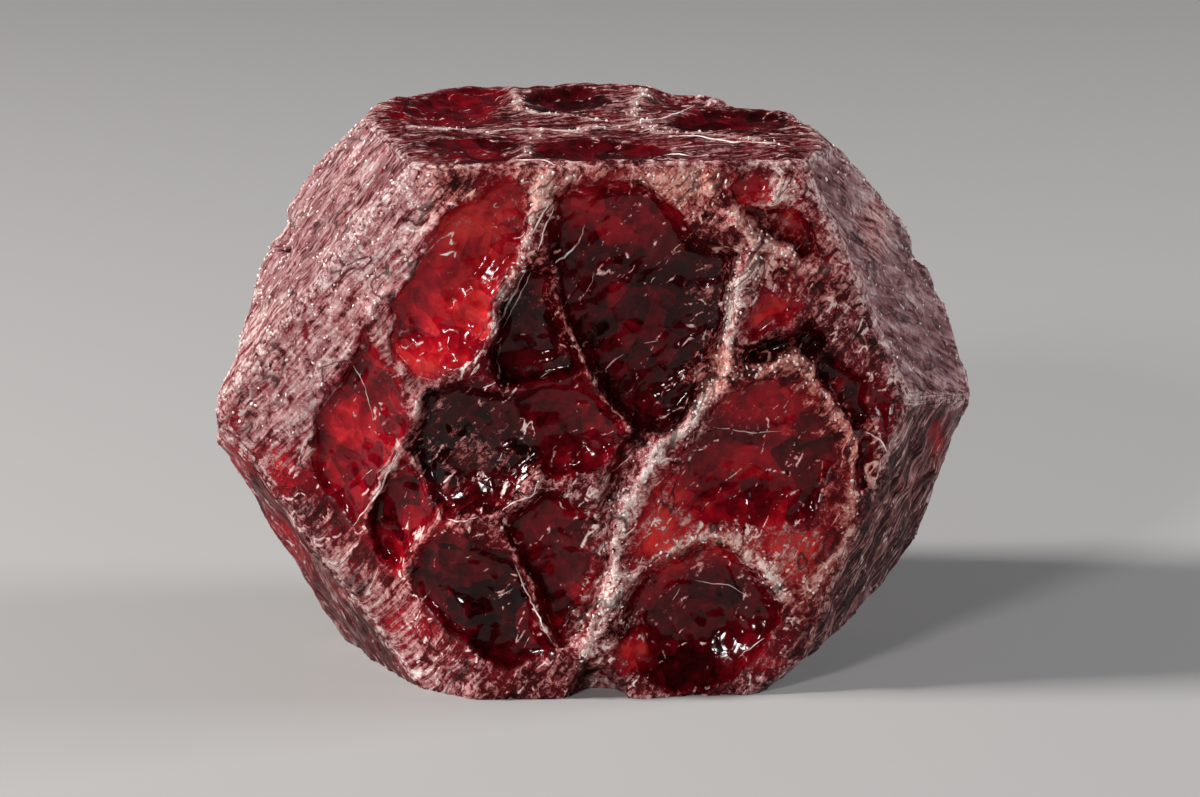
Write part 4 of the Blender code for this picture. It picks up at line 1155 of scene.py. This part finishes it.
# %% A short way to build a growth tree
class Growth:
    """A Geometry Nodes tree with named inputs."""

    def __init__(self, name, sizes):
        self.tree = bpy.data.node_groups.new(name, "GeometryNodeTree")
        face = self.tree.interface
        face.new_socket("Geometry", in_out="OUTPUT", socket_type="NodeSocketGeometry")
        face.new_socket("Geometry", in_out="INPUT", socket_type="NodeSocketGeometry")
        for label, value in sizes.items():
            kind = "NodeSocketInt" if isinstance(value, int) else "NodeSocketFloat"
            face.new_socket(label, in_out="INPUT", socket_type=kind)
        face.new_socket("Material", in_out="INPUT", socket_type="NodeSocketMaterial")
        face.new_socket("Stone", in_out="INPUT", socket_type="NodeSocketObject")
        self.sizes = sizes
        self.given = self.add("NodeGroupInput").outputs

    def add(self, kind, inputs=None, **settings):
        node = self.tree.nodes.new(kind)
        for key, value in settings.items():
            setattr(node, key, value)
        for socket, value in (inputs or {}).items():
            if isinstance(value, bpy.types.NodeSocket):
                self.tree.links.new(value, node.inputs[socket])
            else:
                node.inputs[socket].default_value = value
        return node

    def math(self, operation, first, second=0.0, third=0.0):
        return self.add("ShaderNodeMath", {0: first, 1: second, 2: third},
                        operation=operation).outputs[0]

    def grow(self, name, start, material, stone_object):
        """Run the tree on a mesh, and give back a plain piece."""
        piece = bpy.data.objects.new(name, start)
        bpy.context.scene.collection.objects.link(piece)
        growth = piece.modifiers.new(name, "NODES")
        growth.node_group = self.tree
        values = dict(self.sizes, Material=material, Stone=stone_object)
        for item in self.tree.interface.items_tree:
            if item.in_out == "INPUT" and item.name in values:
                growth[item.identifier] = values[item.name]
        graph = bpy.context.evaluated_depsgraph_get()
        graph.update()
        grown = bpy.data.meshes.new_from_object(piece.evaluated_get(graph))
        piece.modifiers.remove(growth)
        piece.data = grown
        print(name + ":", len(grown.polygons), "faces")
        return piece


# %% The grain tree
grains = Growth("crust grains", {"Grains per mm2": 9.0, "Least frost": 0.22, "Grain size": 0.085,
                                 "Seed": 5})
given = grains.given
frosty = grains.add("GeometryNodeInputNamedAttribute", {"Name": "frost"}, data_type="FLOAT")
lined = grains.add("GeometryNodeInputNamedAttribute", {"Name": "lined"}, data_type="FLOAT")
glazed = grains.add("GeometryNodeInputNamedAttribute", {"Name": "glass"}, data_type="FLOAT")
chalky = grains.math("MULTIPLY_ADD", lined.outputs["Attribute"], -0.85, frosty.outputs["Attribute"])
chalky = grains.math("MULTIPLY_ADD", glazed.outputs["Attribute"], -0.45, chalky)
thick = grains.add("ShaderNodeMapRange", {"Value": chalky,
                                          "From Min": given["Least frost"], "From Max": 0.60})
per_metre = grains.math("MULTIPLY", given["Grains per mm2"], 1.0 / MM ** 2)
strewn = grains.add("GeometryNodeDistributePointsOnFaces", {
    "Mesh": given["Geometry"], "Density": grains.math("MULTIPLY", per_metre, thick.outputs["Result"]),
    "Seed": given["Seed"]})
shade = grains.add("FunctionNodeRandomValue", {"Seed": 3}, data_type="FLOAT")
shaded = grains.add("GeometryNodeStoreNamedAttribute", {
    "Geometry": strewn.outputs["Points"], "Name": "shade", "Value": shade.outputs[1]},
    data_type="FLOAT", domain="POINT")
kernel = grains.add("GeometryNodeMeshIcoSphere", {
    "Radius": grains.math("MULTIPLY", given["Grain size"], MM), "Subdivisions": 1})
stretch = grains.add("FunctionNodeRandomValue", {0: (0.5, 0.5, 0.3), 1: (1.7, 1.2, 0.9), "Seed": 8},
                     data_type="FLOAT_VECTOR")
turn = grains.add("FunctionNodeRandomValue", {0: (0, 0, 0), 1: (math.tau, math.tau, math.tau),
                                              "Seed": 9}, data_type="FLOAT_VECTOR")
placed = grains.add("GeometryNodeInstanceOnPoints", {
    "Points": shaded.outputs["Geometry"], "Instance": kernel.outputs["Mesh"],
    "Rotation": turn.outputs[0], "Scale": stretch.outputs[0]})
real = grains.add("GeometryNodeRealizeInstances", {"Geometry": placed.outputs["Instances"]})
finished = grains.add("GeometryNodeSetMaterial", {"Geometry": real.outputs["Geometry"],
                                                  "Material": given["Material"]})
grains.add("NodeGroupOutput", {"Geometry": finished.outputs["Geometry"]})
print("grain tree:", len(grains.tree.nodes), "nodes")

# %% Grow them
chalk_finish = Finish("crust grain")
shade_value = chalk_finish.layer("shade")
chalk_tone = chalk_finish.ramp(shade_value, ((0.0, (0.30, 0.080, 0.070)), (0.3, (0.62, 0.36, 0.32)),
                                             (0.6, (0.82, 0.66, 0.61)), (1.0, (0.97, 0.92, 0.89))))
chalk_place = chalk_finish.add("ShaderNodeTexCoord").outputs["Object"]
chalk_noise = chalk_finish.noise(chalk_place, 9000.0, detail=2.0)
chalk_bump = chalk_finish.add("ShaderNodeBump", {"Height": chalk_noise, "Distance": 0.04 * MM})
chalk_shader = chalk_finish.add("ShaderNodeBsdfPrincipled", {
    "Base Color": chalk_tone, "Roughness": 0.45, "IOR": 1.6, "Normal": chalk_bump.outputs["Normal"]})
chalk_finish.add("ShaderNodeOutputMaterial", {"Surface": chalk_shader.outputs["BSDF"]})
crust_grains = grains.grow("crust_grains", stone.copy(), chalk_finish.material, ruby)
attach(crust_grains, "root")

# %% [markdown]
# ## Hairlines
# Healed cracks and scratches show as white hairlines, and the same white lines also stand as painted
# glints on the panes. They are drawn as short lines in front of the stone, and the tree drops each
# one along the line of sight until it meets the stone (a raycast), then gives it a thin round
# section that tapers to its ends.

# %% Lines on the drawings
HAIRLINES = {
    "front": [
        ([(-2.4, 9.9), (-3.0, 8.8), (-3.5, 7.6)], 0.06), ([(-2.2, 9.6), (-2.7, 8.4), (-3.1, 7.2)], 0.05),
        ([(-3.6, 6.4), (-4.3, 5.1), (-5.0, 3.8), (-5.3, 3.0)], 0.07),
        ([(-3.4, 6.2), (-4.1, 4.8), (-4.8, 3.5)], 0.04),
        ([(-0.7, 8.6), (-1.1, 7.6), (-1.8, 7.0), (-2.6, 6.4)], 0.06),
        ([(0.2, 1.4), (0.8, 2.0), (1.2, 2.2)], 0.05),
        ([(-10.0, -2.6), (-10.7, -4.2), (-11.6, -5.6), (-12.3, -6.4)], 0.07),
        ([(-3.0, -4.0), (-3.3, -4.8), (-4.1, -5.1), (-4.8, -5.4), (-5.0, -5.9)], 0.05),
        ([(-5.9, -5.8), (-6.6, -6.1), (-7.6, -6.0)], 0.05), ([(-6.0, 0.4), (-4.9, 0.9)], 0.04),
        ([(-3.0, 1.0), (-2.4, 1.4)], 0.04), ([(12.9, -1.5), (13.8, -2.0), (14.2, -2.8)], 0.05),
        ([(4.6, -9.0), (6.4, -9.2), (7.4, -9.8)], 0.025), ([(6.8, -12.8), (8.2, -11.8)], 0.04),
        ([(5.6, -1.4), (7.6, -1.7), (9.0, -1.6)], 0.025), ([(-7.9, 7.1), (-7.5, 7.2), (-7.1, 7.3)], 0.08),
        ([(-12.4, 2.0), (-11.6, 0.6), (-11.2, -1.2)], 0.03),
        ([(-4.2, -8.2), (-3.4, -10.0), (-2.4, -12.0)], 0.05),
    ],
    "top": [
        ([(3.2, -0.6), (6.0, -2.2), (9.2, -3.8)], 0.06), ([(3.0, -4.6), (4.4, -5.6)], 0.05),
        ([(-4.2, -6.4), (-2.0, -7.6)], 0.06), ([(2.0, 2.2), (-2.0, 0.8), (-5.6, 0.4)], 0.06),
        ([(2.0, 2.2), (4.0, 4.6), (5.0, 7.0)], 0.05),
    ],
}
print("hairlines drawn by hand:", sum(len(group) for group in HAIRLINES.values()))

# %% Short marks strewn in the hollows
# The strewn marks are scratches, and also stand as painted glints on the panes.
SCRATCH_AND_GLINT_MARKS_PER_MM2 = 0.03
IN_FRONT = 25.0


def scratch_and_glint_marks(outline, random):
    """Short curved marks inside one hollow, mostly rising to the right: scratches, and painted glints on
    the glass.
    """
    corners = np.array(outline)
    wanted = int(SCRATCH_AND_GLINT_MARKS_PER_MM2 * np.prod(np.ptp(corners, axis=0)))
    marks = []
    while len(marks) < wanted:
        u, v = random.uniform(corners.min(axis=0), corners.max(axis=0))
        if inside_outline(np.array([u]), np.array([v]), outline)[0] < 0.3:
            continue
        heading = math.radians(random.normal(52, 22))
        bend = random.uniform(-0.3, 0.3)
        length = random.uniform(0.4, 1.3)
        turns = [(length * t, heading + bend * t) for t in np.linspace(-0.5, 0.5, 4)]
        mark = [(u + far * math.cos(way), v + far * math.sin(way)) for far, way in turns]
        marks.append((mark, random.uniform(0.012, 0.030)))
    return marks


def drawn_lines():
    """One mesh of open lines in front of the stone, each point with its sight line and width."""
    random = np.random.default_rng(17)
    corners, edges, sights, widths = [], [], [], []
    for name, (drawing, _) in DRAWINGS.items():
        lines = list(HAIRLINES.get(name, []))
        for outline, _, _, _, _, light in HOLLOWS[name].values():
            if light is not None:
                lines += scratch_and_glint_marks(outline, random)
        for line, width in lines:
            for number, (u, v) in enumerate(line):
                on_sheet = drawing.centre + drawing.across * u + drawing.up * v
                away = on_sheet - drawing.eye
                away /= np.linalg.norm(away)
                if number:
                    edges.append((len(corners) - 1, len(corners)))
                corners.append((on_sheet - away * IN_FRONT + MIDDLE_SHIFT) * MM)
                sights.append(away)
                widths.append(width * MM)
    mesh = bpy.data.meshes.new("drawn lines")
    mesh.from_pydata(corners, edges, [])
    mesh.attributes.new("sight", "FLOAT_VECTOR", "POINT").data.foreach_set("vector", np.ravel(sights))
    mesh.attributes.new("width", "FLOAT", "POINT").data.foreach_set("value", widths)
    print("drawn lines:", len(corners) - len(edges))
    return mesh


drawn = drawn_lines()

# %% The hairline tree
hairs = Growth("hairlines", {"Step": 0.22, "Waver": 0.10, "Sides": 5})
given = hairs.given
line = hairs.add("GeometryNodeMeshToCurve", {"Mesh": given["Geometry"]})
stepped = hairs.add("GeometryNodeResampleCurve", {
    "Curve": line.outputs["Curve"], "Length": hairs.math("MULTIPLY", given["Step"], MM)}, mode="LENGTH")
waver = hairs.add("ShaderNodeTexNoise", {"Scale": 2600.0, "Detail": 2.0})
centred = hairs.add("ShaderNodeVectorMath", {0: waver.outputs["Color"], 1: (0.5, 0.5, 0.5)},
                    operation="SUBTRACT")
shaken = hairs.add("ShaderNodeVectorMath", {
    0: centred.outputs["Vector"], "Scale": hairs.math("MULTIPLY", given["Waver"], 3.0 * MM)},
    operation="SCALE")
moved = hairs.add("GeometryNodeSetPosition", {"Geometry": stepped.outputs["Curve"],
                                              "Offset": shaken.outputs["Vector"]})
sight = hairs.add("GeometryNodeInputNamedAttribute", {"Name": "sight"}, data_type="FLOAT_VECTOR")
target = hairs.add("GeometryNodeObjectInfo", {"Object": given["Stone"]})
drop = hairs.add("GeometryNodeRaycast", {"Target Geometry": target.outputs["Geometry"],
                                         "Ray Direction": sight.outputs["Attribute"],
                                         "Ray Length": 0.08})
missed = hairs.add("FunctionNodeBooleanMath", {0: drop.outputs["Is Hit"]}, operation="NOT")
landed = hairs.add("GeometryNodeSetPosition", {"Geometry": moved.outputs["Geometry"],
                                               "Position": drop.outputs["Hit Position"]})
kept = hairs.add("GeometryNodeDeleteGeometry", {"Geometry": landed.outputs["Geometry"],
                                                "Selection": missed.outputs["Boolean"]})
along = hairs.add("GeometryNodeSplineParameter").outputs["Factor"]
bow = hairs.math("MULTIPLY", hairs.math("SUBTRACT", 1.0, along), along)
width = hairs.add("GeometryNodeInputNamedAttribute", {"Name": "width"}, data_type="FLOAT")
taper = hairs.math("MULTIPLY", hairs.math("MULTIPLY", bow, 4.0), width.outputs["Attribute"])
ring = hairs.add("GeometryNodeCurvePrimitiveCircle", {"Resolution": given["Sides"], "Radius": 1.0})
tube = hairs.add("GeometryNodeCurveToMesh", {"Curve": kept.outputs["Geometry"],
                                             "Profile Curve": ring.outputs["Curve"],
                                             "Scale": taper, "Fill Caps": True})
real = hairs.add("GeometryNodeRealizeInstances", {"Geometry": tube.outputs["Mesh"]})
finished = hairs.add("GeometryNodeSetMaterial", {"Geometry": real.outputs["Geometry"],
                                                 "Material": given["Material"]})
hairs.add("NodeGroupOutput", {"Geometry": finished.outputs["Geometry"]})
print("hairline tree:", len(hairs.tree.nodes), "nodes")

# %% Grow them
# White of healed cracks and scratches, also standing as painted glints.
white_finish = Finish("healed crack and glint")
white_place = white_finish.add("ShaderNodeTexCoord").outputs["Object"]
white_noise = white_finish.noise(white_place, 1500.0, detail=3.0)
white_tone = white_finish.ramp(white_noise, ((0.35, (0.45, 0.16, 0.15)), (0.5, (0.75, 0.60, 0.56)),
                                             (0.65, (0.92, 0.88, 0.85))))
white_shader = white_finish.add("ShaderNodeBsdfPrincipled", {"Base Color": white_tone,
                                                             "Roughness": 0.3, "IOR": 1.6})
white_finish.add("ShaderNodeOutputMaterial", {"Surface": white_shader.outputs["BSDF"]})
hairlines = hairs.grow("hairlines", drawn, white_finish.material, ruby)
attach(hairlines, "root")

# %% [markdown]
# ## The studio
# The floor is a wide flat round sheet of pale paper, level to its edge, so that the stone can be
# seen from every side. One soft light rakes across from the upper left, so that the ribs and veins
# catch it. A cooler soft box on the right shows the smooth upper face, and a small one in front
# fills the hollows.

# %% Floor
round_sheet = bmesh.new()
bmesh.ops.create_circle(round_sheet, cap_ends=True, segments=96, radius=1.5)
floor_mesh = bpy.data.meshes.new("floor")
round_sheet.to_mesh(floor_mesh)
round_sheet.free()
floor = bpy.data.objects.new("floor", floor_mesh)
bpy.context.scene.collection.objects.link(floor)
paper = Finish("pale paper")
paper_shader = paper.add("ShaderNodeBsdfPrincipled", {"Base Color": tone(0.40, 0.395, 0.39),
                                                      "Roughness": 0.7})
paper.add("ShaderNodeOutputMaterial", {"Surface": paper_shader.outputs["BSDF"]})
floor.data.materials.append(paper.material)
print("floor:", [round(side, 2) for side in floor.dimensions])

# %% Camera at the height of a seated viewer
TARGET = (np.array((0.3, 0.0, 12.95)) + MIDDLE_SHIFT) * MM
towards_eye = direction(0, VIEW_ELEVATION)
lens = bpy.data.cameras.new("camera")
lens.lens = 150
lens.sensor_width = 36
lens.clip_start = 0.01
camera = bpy.data.objects.new("camera", lens)
camera.location = Vector(TARGET) + towards_eye * VIEW_DISTANCE * MM
camera.rotation_euler = (-towards_eye).to_track_quat("-Z", "Y").to_euler()
bpy.context.scene.collection.objects.link(camera)
bpy.context.scene.camera = camera
print("camera at, mm:", [round(side / MM, 1) for side in camera.location])

# %% Soft lights
def soft_light(name, azimuth, elevation, reach, size, power, colour):
    light = bpy.data.lights.new(name, "AREA")
    light.shape = "RECTANGLE"
    light.size, light.size_y = size
    light.energy = power
    light.color = colour
    holder = bpy.data.objects.new(name, light)
    away = direction(azimuth, elevation)
    holder.location = Vector(TARGET) + away * reach
    holder.rotation_euler = away.to_track_quat("Z", "Y").to_euler()
    bpy.context.scene.collection.objects.link(holder)
    print(name, power, "W")


soft_light("key", -84, 40, 0.40, (0.07, 0.07), 2.0, (1.0, 0.97, 0.94))
soft_light("right box", 100, 24, 0.40, (0.14, 0.20), 1.1, (0.95, 0.97, 1.0))
soft_light("front fill", -30, 24, 0.50, (0.07, 0.07), 1.2, (1.0, 0.98, 0.96))

# %% A dim room, and plain colours
world = bpy.data.worlds.new("dim room")
world.use_nodes = True
world.node_tree.nodes["Background"].inputs["Color"].default_value = tone(0.04, 0.04, 0.045)
bpy.context.scene.world = world
bpy.context.scene.view_settings.view_transform = "Standard"
print("view transform:", bpy.context.scene.view_settings.view_transform)
